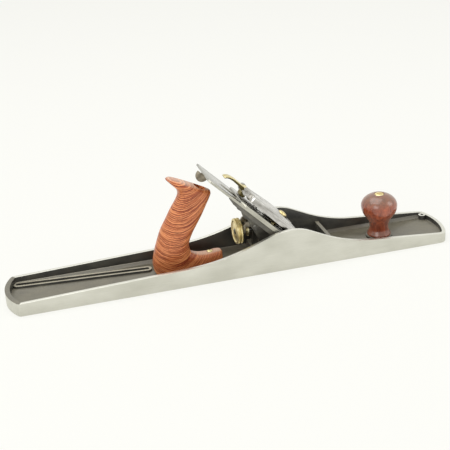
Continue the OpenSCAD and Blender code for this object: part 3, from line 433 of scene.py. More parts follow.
@dataclass(frozen=True)
class ToteWood(Finish):
    """Oiled hardwood, sawn and shaped with rasps, whose growth rings are cut across by the grip's sides."""

    middle: str = "bd6234"
    painted_top_light: str = "e6cbb4"
    ring: float = 2.3
    sag: float = 0.022
    foot: tuple[float, float, float] = (0.0, 0.0, 0.0)
    tilt: float = 0.0
    # How far the rings stray, in millimetres, and how often, per millimetre
    wander: tuple[float, float] = (6.0, 0.05)
    jag: tuple[float, float] = (1.6, 0.7)
    across: float = 0.05
    contrast: float = 0.09
    # How often the pores repeat, per millimetre, along each axis
    pore: tuple[float, float, float] = (1.3, 1.3, 3.2)
    spread: float = 0.08
    depth: float = 0.04

    def sagging(self, tree: bpy.types.NodeTree, place: bpy.types.NodeSocket) -> bpy.types.NodeSocket:
        """Adds the height along the rod of the growth ring that a place lies in.

        Args:
            tree: The material's node tree.
            place: The socket of the place along the rod's axes, in millimetres.

        Returns:
            The socket of a vector whose third number is that height.
        """
        parts = add(tree, "SeparateXYZ", {0: place})
        x, height = parts.outputs[0], parts.outputs[2]
        squared = add(tree, "Math", {0: x, 1: x}, operation="MULTIPLY").outputs[0]
        height = add(tree, "Math", {0: squared, 1: -self.sag, 2: height}, operation="MULTIPLY_ADD").outputs[0]
        for (amount, scale), detail in ((self.wander, 3), (self.jag, 4)):
            noise = add(tree, "TexNoise", {"Vector": place, "Scale": scale, "Detail": detail}).outputs[0]
            height = add(tree, "Math", {0: noise, 1: amount, 2: height}, operation="MULTIPLY_ADD").outputs[0]
        across = add(tree, "Math", {0: x, 1: self.across}, operation="MULTIPLY").outputs[0]
        return add(tree, "CombineXYZ", {0: across, 2: height}).outputs[0]

    def dress(self) -> bpy.types.Material:
        """Makes the material.

        Returns:
            The material, with sagging dark growth lines stacked along the rod, fine pores and a painted pale
            light on what faces up.
        """
        material, shader, place = self.start()
        tree = material.node_tree
        origin = Matrix.Rotation(-self.tilt, 3, "Y") @ Vector(self.foot) / MM
        axes = add(tree, "Mapping", {
            "Vector": place, "Scale": (1 / MM,) * 3, "Rotation": (0, -self.tilt, 0), "Location": -origin,
        }).outputs[0]
        rings = self.sagging(tree, axes)
        uneven = add(tree, "TexNoise", {
            "Vector": rings, "Scale": 1 / self.ring, "Detail": 3, "Roughness": 0.6,
        }).outputs[0]
        height = add(tree, "SeparateXYZ", {0: rings}).outputs[2]
        phase = add(tree, "Math", {0: height, 1: 2 * math.pi / self.ring}, operation="MULTIPLY")
        wave = add(tree, "Math", {0: phase.outputs[0]}, operation="SINE")
        lines = add(tree, "Math", {0: wave.outputs[0], 1: self.contrast, 2: uneven}, operation="MULTIPLY_ADD")
        fibre = add(tree, "Mapping", {"Vector": axes, "Scale": self.pore})
        pores = add(tree, "TexNoise", {"Vector": fibre.outputs[0], "Scale": 0.8, "Detail": 4}).outputs[0]
        mixed = add(tree, "Mix", {0: 0.3, 2: lines.outputs[0], 3: pores}, data_type="FLOAT")
        colour = self.blend(tree, mixed.outputs[0], low=0.42, high=0.58)
        colour.node.color_ramp.elements.new(0.485).color = srgb(self.middle)
        # Painted light: faces that look up go pale, as if catching the overhead lamp
        top_lit_share = self.facing_up(tree, low=0.72, high=0.95, most=0.6)
        self.cover(tree, shader, top_lit_share, (colour, srgb(self.painted_top_light)))
        self.gloss(tree, shader, pores, self.spread)
        self.relief(tree, shader, pores, self.depth, strength=0.5)
        return material


@dataclass(frozen=True)
class TurnedWood(Finish):
    """Hardwood turned on a lathe and finished with a thick gloss varnish."""

    ring: float = 3.0
    fibre: float = 0.6
    depth: float = 0.01
    painted_sheen: str = "74604e"

    def dress(self) -> bpy.types.Material:
        """Makes the material.

        Returns:
            The material, with dim upright grain under a clear coat, and a painted grey-tan reflection on top.
        """
        material, shader, place = self.start()
        tree = material.node_tree
        grain = self.stretched(tree, place, (1, 1, 8), self.ring, detail=5)
        fine = self.stretched(tree, place, (1, 1, 16), self.fibre, detail=3)
        both = add(tree, "Mix", {0: 0.4, 2: grain, 3: fine}, data_type="FLOAT")
        colour = self.blend(tree, both.outputs[0], low=0.36, high=0.66)
        # Painted reflection: faces that look up go to the grey-tan colour
        self.cover(tree, shader, self.facing_up(tree, low=0.15, high=0.8, most=0.6), (colour, srgb(self.painted_sheen)))
        self.relief(tree, shader, fine, self.depth, strength=0.4)
        return material


def finished(shape: bmesh.types.BMesh, name: str, finishes: list[bpy.types.Material],
             sharp: float = 38) -> bpy.types.Object:
    """Makes a finished object at the origin from a shape whose place is in its mesh.

    Args:
        shape: The shape, which is freed.
        name: The piece's name.
        finishes: Its materials, in the order of the faces' numbers.
        sharp: Faces that meet at a sharper angle keep a hard edge, in degrees.

    Returns:
        The new object.
    """
    mesh = bpy.data.meshes.new(name)
    shape.to_mesh(mesh)
    shape.free()
    mesh.shade_smooth()
    mesh.set_sharp_from_angle(angle=math.radians(sharp))
    for finish in finishes:
        mesh.materials.append(finish)
    log.info("%s: %d faces", name, len(mesh.polygons))
    return placed(name, mesh)


def stand_in(piece: bpy.types.Object, body: str, slot: Slot, *nodes: str) -> None:
    """Tells the frame what a piece rides on and which solids it stands for.

    Args:
        piece: The piece.
        body: The body's name.
        slot: The material slot; not used.
        *nodes: The solids that it stands for.
    """
    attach(piece, body)
    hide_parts(*nodes)


def softened(source: bpy.types.Object, width: float, segments: int = 2,
             angle: float = 28) -> bmesh.types.BMesh:
    """Copies a solid's mesh, merges it and rounds its edges.

    Args:
        source: The solid's object.
        width: How wide each rounded edge is, in millimetres.
        segments: How many faces each rounded edge has across it.
        angle: Edges between faces that meet at a lesser angle stay, in degrees.

    Returns:
        The rounded shape.
    """
    shape = bmesh.new()
    shape.from_mesh(source.data)
    bmesh.ops.remove_doubles(shape, verts=shape.verts, dist=2 * SAME)
    bmesh.ops.dissolve_limit(shape, angle_limit=FLAT, verts=shape.verts, edges=shape.edges)
    edges = [e for e in shape.edges if e.is_manifold and e.calc_face_angle(0) > math.radians(angle)]
    bmesh.ops.bevel(shape, geom=edges, offset=width * MM, offset_type="OFFSET", affect="EDGES",
                    segments=segments, profile=0.5, material=-1, clamp_overlap=True)
    bmesh.ops.triangulate(shape, faces=[f for f in shape.faces if len(f.verts) > 4])
    return shape


def cut(piece: bpy.types.Object, tools: list[bmesh.types.BMesh]) -> None:
    """Cuts shapes out of a piece.

    Args:
        piece: The piece.
        tools: The shapes, which are freed.
    """
    for tool in tools:
        mesh = bpy.data.meshes.new("cutter_shape")
        tool.to_mesh(mesh)
        tool.free()
        holder = placed("cutter_shape", mesh)
        step = piece.modifiers.new("cut", "BOOLEAN")
        step.operation = "DIFFERENCE"
        step.solver = "EXACT"
        step.object = holder
        settle(piece)
        bpy.data.objects.remove(holder)


def settle(piece: bpy.types.Object) -> None:
    """Applies a piece's modifiers to its mesh.

    Args:
        piece: The piece.
    """
    graph = bpy.context.evaluated_depsgraph_get()
    mesh = bpy.data.meshes.new_from_object(piece.evaluated_get(graph))
    piece.modifiers.clear()
    piece.data = mesh


def cylinder(radius: float, low: float, high: float, turn: Matrix,
             steps: int = 64) -> bmesh.types.BMesh:
    """Makes a closed round bar along Z, then turns it to its place.

    Args:
        radius: Its radius in millimetres.
        low: Its lower end in millimetres.
        high: Its upper end in millimetres.
        turn: The transform to its place.
        steps: How many sides it has.

    Returns:
        The shape.
    """
    shape = bmesh.new()
    middle = Matrix.Translation((0, 0, (low + high) / 2 * MM))
    bmesh.ops.create_cone(shape, cap_ends=True, segments=steps, radius1=radius * MM, radius2=radius * MM,
                          depth=(high - low) * MM, matrix=turn @ middle)
    return shape


def spun(profile: list[tuple[float, float]], turn: Matrix, steps: int) -> bmesh.types.BMesh:
    """Spins a profile of radius and height about Z, then turns it to its place.

    Args:
        profile: Radius and height of each point in millimetres, from the foot to the top.
        turn: The transform to its place.
        steps: How many sides it has.

    Returns:
        The closed shape, with its faces outwards.
    """
    shape = bmesh.new()
    points = [shape.verts.new((r * MM, 0, z * MM)) for r, z in profile]
    edges = [shape.edges.new(pair) for pair in zip(points, points[1:])]
    bmesh.ops.spin(shape, geom=points + edges, cent=(0, 0, 0), axis=(0, 0, 1), angle=2 * math.pi,
                   steps=steps, use_merge=True)
    bmesh.ops.remove_doubles(shape, verts=shape.verts, dist=SAME)
    bmesh.ops.recalc_face_normals(shape, faces=shape.faces)
    bmesh.ops.transform(shape, matrix=turn, verts=shape.verts)
    return shape


def curve_through(points: list[tuple[float, float]], steps: int) -> list[Vector]:
    """Draws a smooth curve through points.

    Args:
        points: The points, in order.
        steps: How many steps lie between two of them.

    Returns:
        The points of the curve.
    """
    knots = [Vector(p) for p in points]
    ends = [2 * knots[0] - knots[1], *knots, 2 * knots[-1] - knots[-2]]
    line = []
    for a, b, c, d in zip(ends, ends[1:], ends[2:], ends[3:]):
        for i in range(steps):
            t = i / steps
            line.append(0.5 * (2 * b + (c - a) * t + (2 * a - 5 * b + 4 * c - d) * t ** 2
                               + (3 * b - a - 3 * c + d) * t ** 3))
    return [*line, knots[-1]]


class Workshop:
    """The finishes that the pieces share."""

    def __init__(self) -> None:
        """Makes every finish."""
        # Grey cast iron, belt-ground: pale and silky, with fine lines along the sides and a few faint stains
        self.ground = GroundMetal("cast_iron_belt_ground", "c3c2b6", "dddcd2", 1.0, 0.46).dress()
        # The same iron, milled on the rims: a thin bright edge that draws the outline of the bed
        self.rim = GroundMetal("cast_iron_rim_milled", "d2d1c8", "e8e7df", 1.0, 0.38).dress()
        # Baked enamel on the ribs' tops with a painted highlight: pale grey, a little warmer than the floor's
        self.ribs = CastEnamel(
            "cast_iron_enamel_painted_highlight", "57544a", "7a7666", 0.0, 0.42, dust_and_sheen="b3ad99", dust_and_sheen_most=1.0,
        ).dress()
        # Sand-cast iron under baked black enamel: dark and softly uneven, paler on what faces up, partly dust
        # and partly painted sheen
        self.enamel = CastEnamel("cast_iron_baked_black_enamel", "2d2c28", "454339", 0.0, 0.38).dress()
        # The frog's coarser casting with a thin coat: the grain of the mould shows as a lively broken sheen
        self.frog = CastEnamel(
            "cast_iron_rough_enamelled", "44423a", "6d695c", 0.0, 0.4, grain=2.4, depth=0.12,
        ).dress()
        # Hardened tool steel, surface-ground and handled: cool grey with darker clouds and long soft streaks
        self.steel = GroundMetal(
            "tool_steel_surface_ground", "85837e", "dddcd6", 1.0, 0.24, along=(40.0, 1.0, 1.0),
            turn=BED_ANGLE, line=1.3, lines=0.6, stain=14,
        ).dress()
        # The same steel on the cutter's narrow edges, left from the shear and filed: flat pale grey
        self.edges = GroundMetal(
            "tool_steel_edge_filed", "aaa89c", "cfcdc1", 1.0, 0.5, along=(30.0, 1.0, 1.0),
            turn=BED_ANGLE, line=0.8, stain=10,
        ).dress()
        # Malleable iron, nickel-plated and polished: the brightest metal, clouded where the plating is worn
        self.plated = GroundMetal(
            "iron_nickel_plated", "807d77", "eceae6", 1.0, 0.22, along=(25.0, 1.0, 1.0),
            turn=BED_ANGLE, line=2.0, lines=0.5, stain=9,
        ).dress()
        # Mild steel, turned and thinly plated: small even glints on screw heads and pins
        self.screws = SmoothMetal("mild_steel_turned_and_plated", "8f8d89", "b4b1ab", 1.0, 0.3).dress()
        # Pressed sheet steel gone dull: a quiet warm grey with no sharp reflection
        self.dark = SmoothMetal("pressed_steel_dull", "7a7264", "aaa18f", 1.0, 0.4).dress()
        # Yellow brass, turned and lacquered: a warm bright spot on each wooden handle
        self.brass = SmoothMetal("brass_turned_and_lacquered", "dcc88e", "f3e6b8", 1.0, 0.28).dress()
        # Yellow brass, machined and left bare: pale straw, blurred by handling
        self.wheel = SmoothMetal("brass_machined_dull", "d9c78f", "fbf0c6", 1.0, 0.45).dress()
        # Cast brass with painted light: bright on top, and a painted brown shade underneath
        self.lever = BrassWithPaintedShade("brass_cast_painted_shade", "d2c28a", "f4eabf", 1.0, 0.3).dress()
        # Stained hardwood, turned, thickly varnished: deep red-brown with wet highlights, and a painted
        # grey-tan reflection on the crown
        self.knob = TurnedWood("hardwood_turned_and_varnished", "6e2f1c", "b8603f", 0.0, 0.3, 0.7).dress()


@dataclass
class Castings:
    """The bed casting, ground outside and enamelled inside, and the frog that stands in it."""

    shop: Workshop
    half_l: float = 278.5
    half_w: float = 37.5
    wall: float = 4.5
    toe_r: float = 79.0
    heel_r: float = 65.0
    sole_top: float = 0.9
    eased: float = 0.5
    # The milled mouth, along the sole
    mouth: tuple[float, float] = (84.0, 114.0)
    # The height over which the walls' rims lie, and the length of the enamelled heel
    rim_low: float = 9.0
    heel_l: float = 14.0
    # The hook hole's boss: its place, how far out it is milled and the height over which its face lies
    boss: tuple[float, float] = (266.3, 26.7)
    boss_r: float = 5.4
    boss_top: float = 11.0
    # The low ribs' tops, between these heights and behind this place
    rib: tuple[float, float] = (8.4, 9.6)
    rib_front: float = -60.0

    def inside(self, x: float, y: float) -> bool:
        """Tells whether a place lies within the walls.

        Args:
            x: The place along the sole in millimetres.
            y: The place across it in millimetres.

        Returns:
            True between the walls and the two curved ends.
        """
        spare = self.wall - 0.35
        toe = Vector((x - self.half_l + self.toe_r, y)).length < self.toe_r - spare
        heel = Vector((x + self.half_l - self.heel_r, y)).length < self.heel_r - spare
        return (abs(y) < self.half_w - spare and (x < self.half_l - self.toe_r or toe)
                and (x > self.heel_r - self.half_l or heel))

    def surface(self, face: bmesh.types.BMFace) -> Skin:
        """Chooses how a face of the bed casting is finished.

        Args:
            face: The face.

        Returns:
            The choice.
        """
        x, y, z = face.calc_center_median() / MM
        up = face.normal.z
        mouth = self.mouth[0] < x < self.mouth[1] and z < FLOOR - 0.1
        if self.inside(x, y) and z > self.sole_top and not mouth:
            # The low ribs' tops take the enamel with the painted highlight
            if self.rib[0] < z < self.rib[1] and x < self.rib_front and up > 0.4:
                return Skin.RIB
            boss = math.hypot(x - self.boss[0], y - self.boss[1]) < self.boss_r and z > self.boss_top
            return Skin.RIM if boss and up > 0.8 else Skin.ENAMEL
        if z < self.rim_low:
            return Skin.GROUND
        if x < self.heel_l - self.half_l and up > 0.2:
            return Skin.ENAMEL
        return Skin.RIM if up > 0.8 else Skin.GROUND

    def build(self, nodes: dict[str, bpy.types.Object]) -> None:
        """Makes both castings.

        Args:
            nodes: The frame's solids.
        """
        shape = softened(nodes["body_casting"], self.eased)
        for face in shape.faces:
            face.material_index = self.surface(face).value
        skins = [self.shop.ground, self.shop.enamel, self.shop.rim, self.shop.ribs]
        bed = finished(shape, "bed_casting_ground_and_enamelled", skins, sharp=50)
        stand_in(bed, Body.PLANE.value, Slot.BODY, "body_casting")
        shape = softened(nodes["frog"], self.eased)
        out_of_bed = Vector((math.sin(BED_ANGLE), 0, math.cos(BED_ANGLE)))
        for face in shape.faces:
            face.material_index = int(face.normal.dot(out_of_bed) > 0.98 and face.calc_area() > 10 * MM ** 2)
        frog = finished(shape, "frog_casting", [self.shop.frog, self.shop.ground])
        stand_in(frog, body_of(nodes["frog"])[0], Slot.FROG, "frog")


@dataclass
class Fittings:
    """Steel and brass pieces whose solids have the right form and need their edges eased."""

    shop: Workshop
    plain: tuple[str, ...] = (
        "depth_stud", "yoke_pin", "lateral_rivet", "lateral_roller", "spring_rivet", "cam_pin", "tote_rod",
        "knob_rod",
    )

    def rows(self) -> list[tuple[str, str, bpy.types.Material, Slot, float]]:
        """Lists the pieces.

        Returns:
            Node, new name, finish, slot and the width of the eased edges in millimetres.
        """
        shop = self.shop
        return [
            ("frog_screws", "frog_screw_pair", shop.screws, Slot.STEEL, 0.25),
            ("frog_washers", "frog_washer_pair", shop.screws, Slot.STEEL, 0.2),
            ("frog_clip", "frog_adjusting_clip", shop.screws, Slot.STEEL, 0.2),
            ("frog_clip_screw", "frog_adjusting_clip_screw", shop.screws, Slot.STEEL, 0.2),
            ("frog_adjusting_screw", "frog_adjusting_screw_turned", shop.screws, Slot.STEEL, 0.2),
            ("yoke", "depth_yoke_cast", shop.dark, Slot.YOKE, 0.4),
            ("lateral_lever", "lateral_lever_pressed", shop.dark, Slot.DARK, 0.35),
            ("iron", "cutter_ground", shop.steel, Slot.CUTTER, 0.2),
            ("cap_iron", "cap_iron_pressed", shop.steel, Slot.CUTTER, 0.3),
            ("cap_iron_screw", "cap_iron_screw_turned", shop.screws, Slot.STEEL, 0.3),
            ("lever_cap", "lever_cap_plated", shop.plated, Slot.CAP, 0.5),
            ("lever_cap_screw", "lever_cap_screw_turned", shop.brass, Slot.BRASS, 0.25),
            ("cap_spring", "cap_spring_flat", shop.screws, Slot.STEEL, 0.15),
            ("cam_lever", "cam_lever_cast_brass", shop.lever, Slot.BRASS, 0.7),
            ("tote_nut", "tote_nut_turned", shop.brass, Slot.BRASS, 0.25),
            ("tote_screw", "tote_screw_turned", shop.brass, Slot.BRASS, 0.25),
            ("knob_nut", "knob_nut_turned", shop.brass, Slot.BRASS, 0.25),
        ]

    def build(self, nodes: dict[str, bpy.types.Object]) -> None:
        """Makes the eased pieces and dresses the plain rods and rivets.

        Args:
            nodes: The frame's solids.
        """
        for node, name, finish, slot, width in self.rows():
            shape = softened(nodes[node], width)
            skins = [finish]
            if slot is Slot.CUTTER:
                skins.append(self.shop.edges)
                for face in shape.faces:
                    face.material_index = int(abs(face.normal.y) > 0.7)
            piece = finished(shape, name, skins)
            stand_in(piece, body_of(nodes[node])[0], slot, node)
        for node in self.plain:
            nodes[node].data.materials.clear()
            nodes[node].data.materials.append(self.shop.screws)
            log.info("%s: plain, dressed", node)


@dataclass
class DepthWheel:
    """The brass wheel with two knurled bands, its hub and the groove for the yoke."""

    shop: Workshop
    at: float = 4.2
    height: float = 45.0
    radius: float = 16.0
    rim: float = 7.5
    bore: float = 3.55
    core: float = 5.6
    flange: float = 8.0
    neck: float = 7.08
    teeth: int = 90
    tooth_gap: float = 0.16
    tooth_deep: float = 0.3

    def profile(self) -> list[tuple[float, float]]:
        """Draws the wheel's section from its bore over the two bands to the hub's flange.

        Returns:
            Radius and distance from the wheel's face of each point, in millimetres.
        """
        r, f = self.radius, self.flange
        groove = self.rim + self.neck
        return [
            (self.bore, 0.9), (f - 0.5, 0.9), (f, 1.1), (r - 3.6, 1.1), (r - 3.2, 0.5), (r - 2.6, 0.1),
            (r - 1.2, 0.1), (r - 0.4, 0.4), (r, 0.9), (r, 2.8), (r - 0.5, 3), (r - 1.2, 3.35),
            (r - 1.2, 4.15), (r - 0.5, 4.5), (r, 4.7), (r, 6.6), (r - 0.4, 7.1), (r - 1.2, 7.4), (r - 3, 7.4),
            (r - 3.6, 7), (r - 4.2, 5.6), (f, 5.6), (self.core + 0.3, 7.2), (self.core, 7.6),
            (self.core, groove), (f - 0.3, groove), (f, groove + 0.3), (f, groove + 2),
            (f - 0.3, groove + 2.3), (self.bore, groove + 2.3), (self.bore, 0.9),
        ]

    def build(self) -> None:
        """Spins the wheel and knurls its rim."""
        place = Matrix.Translation((self.at * MM, 0, self.height * MM))
        turn = place @ Matrix.Rotation(math.pi / 2, 4, "Y")
        shape = spun(self.profile(), turn, self.teeth)
        axis = Vector((0, 0, self.height * MM))
        rim = []
        for face in shape.faces:
            out = Vector((0, *face.calc_center_median().yz)) - axis
            if abs(face.normal.x) < 0.05 and out.length > (self.radius - 0.2) * MM:
                rim.append(face)
        bmesh.ops.inset_individual(shape, faces=rim, thickness=self.tooth_gap * MM, depth=0)
        for face in rim:
            bmesh.ops.translate(shape, vec=face.normal * -self.tooth_deep * MM, verts=face.verts[:])
        wheel = finished(shape, "depth_wheel_knurled", [self.shop.wheel], sharp=30)
        stand_in(wheel, Body.WHEEL.value, Slot.BRASS, "depth_wheel")


@dataclass
class Knob:
    """The turned front knob."""

    shop: Workshop
    at: float = 194.5
    base: float = 9.0
    belly: float = 22.8
    belly_h: float = 39.5
    crown_h: float = 15.9
    nut_at: float = 51.7
    nut_r: float = 6.3
    sleeve_r: float = 4.9
    # The cuts run from below the foot to above the crown
    below: float = -2.0
    above: float = 70.0
    sides: int = 96
    crown_steps: int = 24
    curve_steps: int = 3
    # Radius and height of the foot's corners, and of points on the curve from the foot to the belly
    foot: tuple[tuple[float, float], ...] = ((0, 0), (14.2, 0), (14.8, 0.3), (15.1, 0.9), (15.1, 1.9))
    under: tuple[tuple[float, float], ...] = (
        (14.6, 2.6), (13.4, 4.8), (12.2, 7.4), (11.8, 10.2), (11.9, 13.2), (12.7, 16.6), (14.2, 20.2),
        (16.8, 24.2), (20.1, 29.2), (22.1, 34.4), (22.8, 39.5),
    )

    def build(self) -> None:
        """Spins the knob and cuts the nut's seat."""
        profile = [*self.foot, *((p.x, p.y) for p in curve_through(list(self.under), self.curve_steps))]
        for i in range(1, self.crown_steps + 1):
            a = math.pi / 2 * i / self.crown_steps
            profile.append((self.belly * math.cos(a), self.belly_h + self.crown_h * math.sin(a)))
        turn = Matrix.Translation((self.at * MM, 0, self.base * MM))
        knob = finished(spun(profile, turn, self.sides), "knob_turned", [self.shop.knob], sharp=45)
        cut(knob, [
            cylinder(self.nut_r, self.nut_at, self.above, turn),
            cylinder(self.sleeve_r, self.below, self.above, turn, 48),
        ])
        stand_in(knob, Body.PLANE.value, Slot.KNOB, "knob")


@dataclass
class Tote:
    """The carved rear handle: a leaning grip with a horn, and a toe that runs forward along the bed."""

    at: float = -13.0
    half_t: float = 12.5
    rod_back: float = 65.0
    rod_tilt: float = math.radians(21.7)
    nut_at: float = 104.3
    nut_r: float = 7.6
    sleeve_r: float = 4.9
    sleeve_top: float = 109.6
    boss_r: float = 7.8
    boss_h: float = 7.3
    screw_back: float = 15.0
    screw_r: float = 2.7
    head_r: float = 4.0
    head_sunk: float = 1.8
    # The cuts run from below the handle to above it; the screw's end over the toe, under the grip's nose
    below: float = -10.0
    above: float = 150.0
    open_h: float = 40.0
    toe_h: float = 19.0
    toe_half: float = 9.0
    toe_squareness: float = 2.9
    squareness: float = 2.5
    # The lofts begin this far under the bed's floor, and are cut off level just clear of it
    sunk: float = 4.0
    clear: float = 0.02
    voxel: float = 0.65
    grain_back: float = 66.0
    grain_tilt: float = math.radians(9)
    steps: int = 4
    rear: tuple[tuple[float, float], ...] = (
        (-82.0, -4), (-84.6, 2), (-86.2, 8), (-86.6, 16.5), (-84, 29), (-80.4, 40.4), (-74.6, 55.9),
        (-67.4, 68.6), (-60.3, 81.3), (-54.1, 90.7), (-50.5, 98), (-50.1, 103.1), (-52.2, 108),
        (-57.7, 114.2), (-63.5, 120.8),
    )
    front: tuple[tuple[float, float], ...] = (
        (-37, -4), (-37.4, 2), (-38.5, 10), (-39.6, 24), (-40.8, 32), (-39.4, 39.5), (-34.7, 50),
        (-28.7, 60), (-22.8, 70), (-18.1, 79), (-15.1, 85), (-13.1, 88.5), (-11.8, 91.2), (-10.8, 93.2),
        (-10.1, 94.6),
    )
    width: tuple[float, ...] = (0.92, 0.95, 0.99, 1, 1, 1, 1, 1, 1, 1, 1, 1, 1, 1, 0.98)
    # The crowned top: rise over the last ring, and shares of its length and width
    crown: tuple[tuple[float, float, float], ...] = (
        (1.3, 0.985, 0.95), (2.6, 0.96, 0.82), (3.6, 0.93, 0.62), (4.2, 0.9, 0.38),
    )

    def loft(self, shape: bmesh.types.BMesh, rings: list[tuple[Vector, Vector, float, float]]) -> None:
        """Lofts closed rings into one shell.

        Args:
            shape: The shape that takes the shell.
            rings: For each ring its middle, its half length as a vector, its half width and its squareness.
        """
        last: list[bmesh.types.BMEdge] = []
        for i, (middle, reach, half, square) in enumerate(rings):
            verts = bmesh.ops.create_circle(shape, cap_ends=False, segments=48, radius=1)["verts"]
            for vert in verts:
                c, s = vert.co.x, vert.co.y
                u = math.copysign(abs(c) ** (2 / square), c)
                v = math.copysign(abs(s) ** (2 / square), s)
                vert.co = middle + reach * u + Vector((0, half * v, 0))
            # A dict keeps the edges in order, so that each run gives the same faces
            edges = list(dict.fromkeys(edge for vert in verts for edge in vert.link_edges))
            if last:
                bmesh.ops.bridge_loops(shape, edges=last + edges)
            if i in (0, len(rings) - 1):
                bmesh.ops.edgeloop_fill(shape, edges=edges)
            last = edges

    def upward(self, reach: Vector) -> Vector:
        """Gives the direction square to a ring's length, upwards."""
        return Vector((-reach.z, 0, reach.x)).normalized()

    def grip_rings(self) -> list[tuple[Vector, Vector, float, float]]:
        """Places the rings of the grip between its rear and front lines.

        Returns:
            The rings, from under the bed's floor to the crowned top.
        """
        rear, front = (curve_through(list(line), self.steps) for line in (self.rear, self.front))
        widths = curve_through([(w, 0) for w in self.width], self.steps)
        rings = []
        for a, b, w in zip(rear, front, widths):
            a, b = (Vector((self.at + p.x, 0, FLOOR + p.y)) * MM for p in (a, b))
            rings.append(((a + b) / 2, (b - a) / 2, min(w.x, 1) * self.half_t * MM, self.squareness))
        middle, reach, half, square = rings[-1]
        for rise, long, wide in self.crown:
            rings.append((middle + self.upward(reach) * rise * MM, reach * long, half * wide, square))
        return rings

    def toe_rings(self) -> list[tuple[Vector, Vector, float, float]]:
        """Places the rings of the toe along the bed.

        Returns:
            The rings, from inside the grip to the toe's round end.
        """
        h = self.toe_h
        line = curve_through([(-62, h + 9), (-44, h + 6.5), (-36, h + 2.2), (-28, h - 0.2), (-18, h - 0.6),
                              (-9, h + 0.4), (-4.5, h + 0.4)], 3)
        tip = [(-1.8, h - 0.1, 0.86), (-0.6, h - 1.3, 0.68), (-0.1, h - 3.2, 0.45)]
        rings = [(p.x, p.y, min(1, 0.96 + (-p.x) / 400)) for p in line] + tip
        made = []
        for x, top, wide in rings:
            middle = Vector((self.at + x, 0, FLOOR + (top - self.sunk) / 2)) * MM
            reach = Vector((0, 0, (top + self.sunk) / 2)) * MM
            made.append((middle, reach, self.toe_half * wide * MM, self.toe_squareness))
        return made

    def cut_level(self, tote: bpy.types.Object) -> None:
        """Cuts the handle off level just clear of the bed's floor and closes it.

        Args:
            tote: The handle.
        """
        shape = bmesh.new()
        shape.from_mesh(tote.data)
        parts = [*shape.verts, *shape.edges, *shape.faces]
        made = bmesh.ops.bisect_plane(shape, geom=parts, dist=SAME / 10,
                                      plane_co=(0, 0, (FLOOR + self.clear) * MM),
                                      plane_no=(0, 0, -1), clear_outer=True)
        rim = [part for part in made["geom_cut"] if isinstance(part, bmesh.types.BMEdge)]
        bmesh.ops.edgeloop_fill(shape, edges=rim)
        bmesh.ops.recalc_face_normals(shape, faces=shape.faces)
        shape.to_mesh(tote.data)
        shape.free()

    def bores(self) -> list[bmesh.types.BMesh]:
        """Makes the shapes that the handle's bores and seats are cut with.

        Returns:
            The nut's seat and sleeve, the seat over the bed's boss, and the screw's seat and hole.
        """
        foot = Matrix.Translation(((self.at - self.rod_back) * MM, 0, FLOOR * MM))
        rod = foot @ Matrix.Rotation(self.rod_tilt, 4, "Y")
        screw = Matrix.Translation(((self.at - self.screw_back) * MM, 0, FLOOR * MM))
        return [
            cylinder(self.nut_r, self.nut_at, self.above, rod),
            cylinder(self.sleeve_r, self.below, self.sleeve_top, rod, 48),
            cylinder(self.boss_r, self.below, self.boss_h, foot),
            cylinder(self.head_r, self.toe_h - self.head_sunk, self.open_h, screw, 48),
            cylinder(self.screw_r, self.below, self.open_h, screw, 48),
        ]

    def build(self) -> None:
        """Lofts, joins and smooths the handle, then cuts its bores and seats."""
        # Red tropical hardwood, sawn, rasped and oiled: orange-red, dark growth lines sagging across the grip
        wood = ToteWood("hardwood_shaped_and_oiled", "7c2c12", "ea9a62", 0.0, 0.42, 0.15,
                        foot=((self.at - self.grain_back) * MM, 0, FLOOR * MM), tilt=self.grain_tilt).dress()
        shape = bmesh.new()
        self.loft(shape, self.grip_rings())
        self.loft(shape, self.toe_rings())
        bmesh.ops.recalc_face_normals(shape, faces=shape.faces)
        tote = finished(shape, "tote_carved", [wood], sharp=60)
        join = tote.modifiers.new("join", "REMESH")
        join.mode = "VOXEL"
        join.voxel_size = self.voxel * MM
        ease = tote.modifiers.new("ease", "SMOOTH")
        ease.factor = 0.5
        ease.iterations = 3
        settle(tote)
        self.cut_level(tote)
        cut(tote, self.bores())
        tote.data.shade_smooth()
        tote.data.set_sharp_from_angle(angle=math.radians(40))
        tote.data.materials.clear()
        tote.data.materials.append(wood)
        stand_in(tote, Body.PLANE.value, Slot.TOTE, "tote")


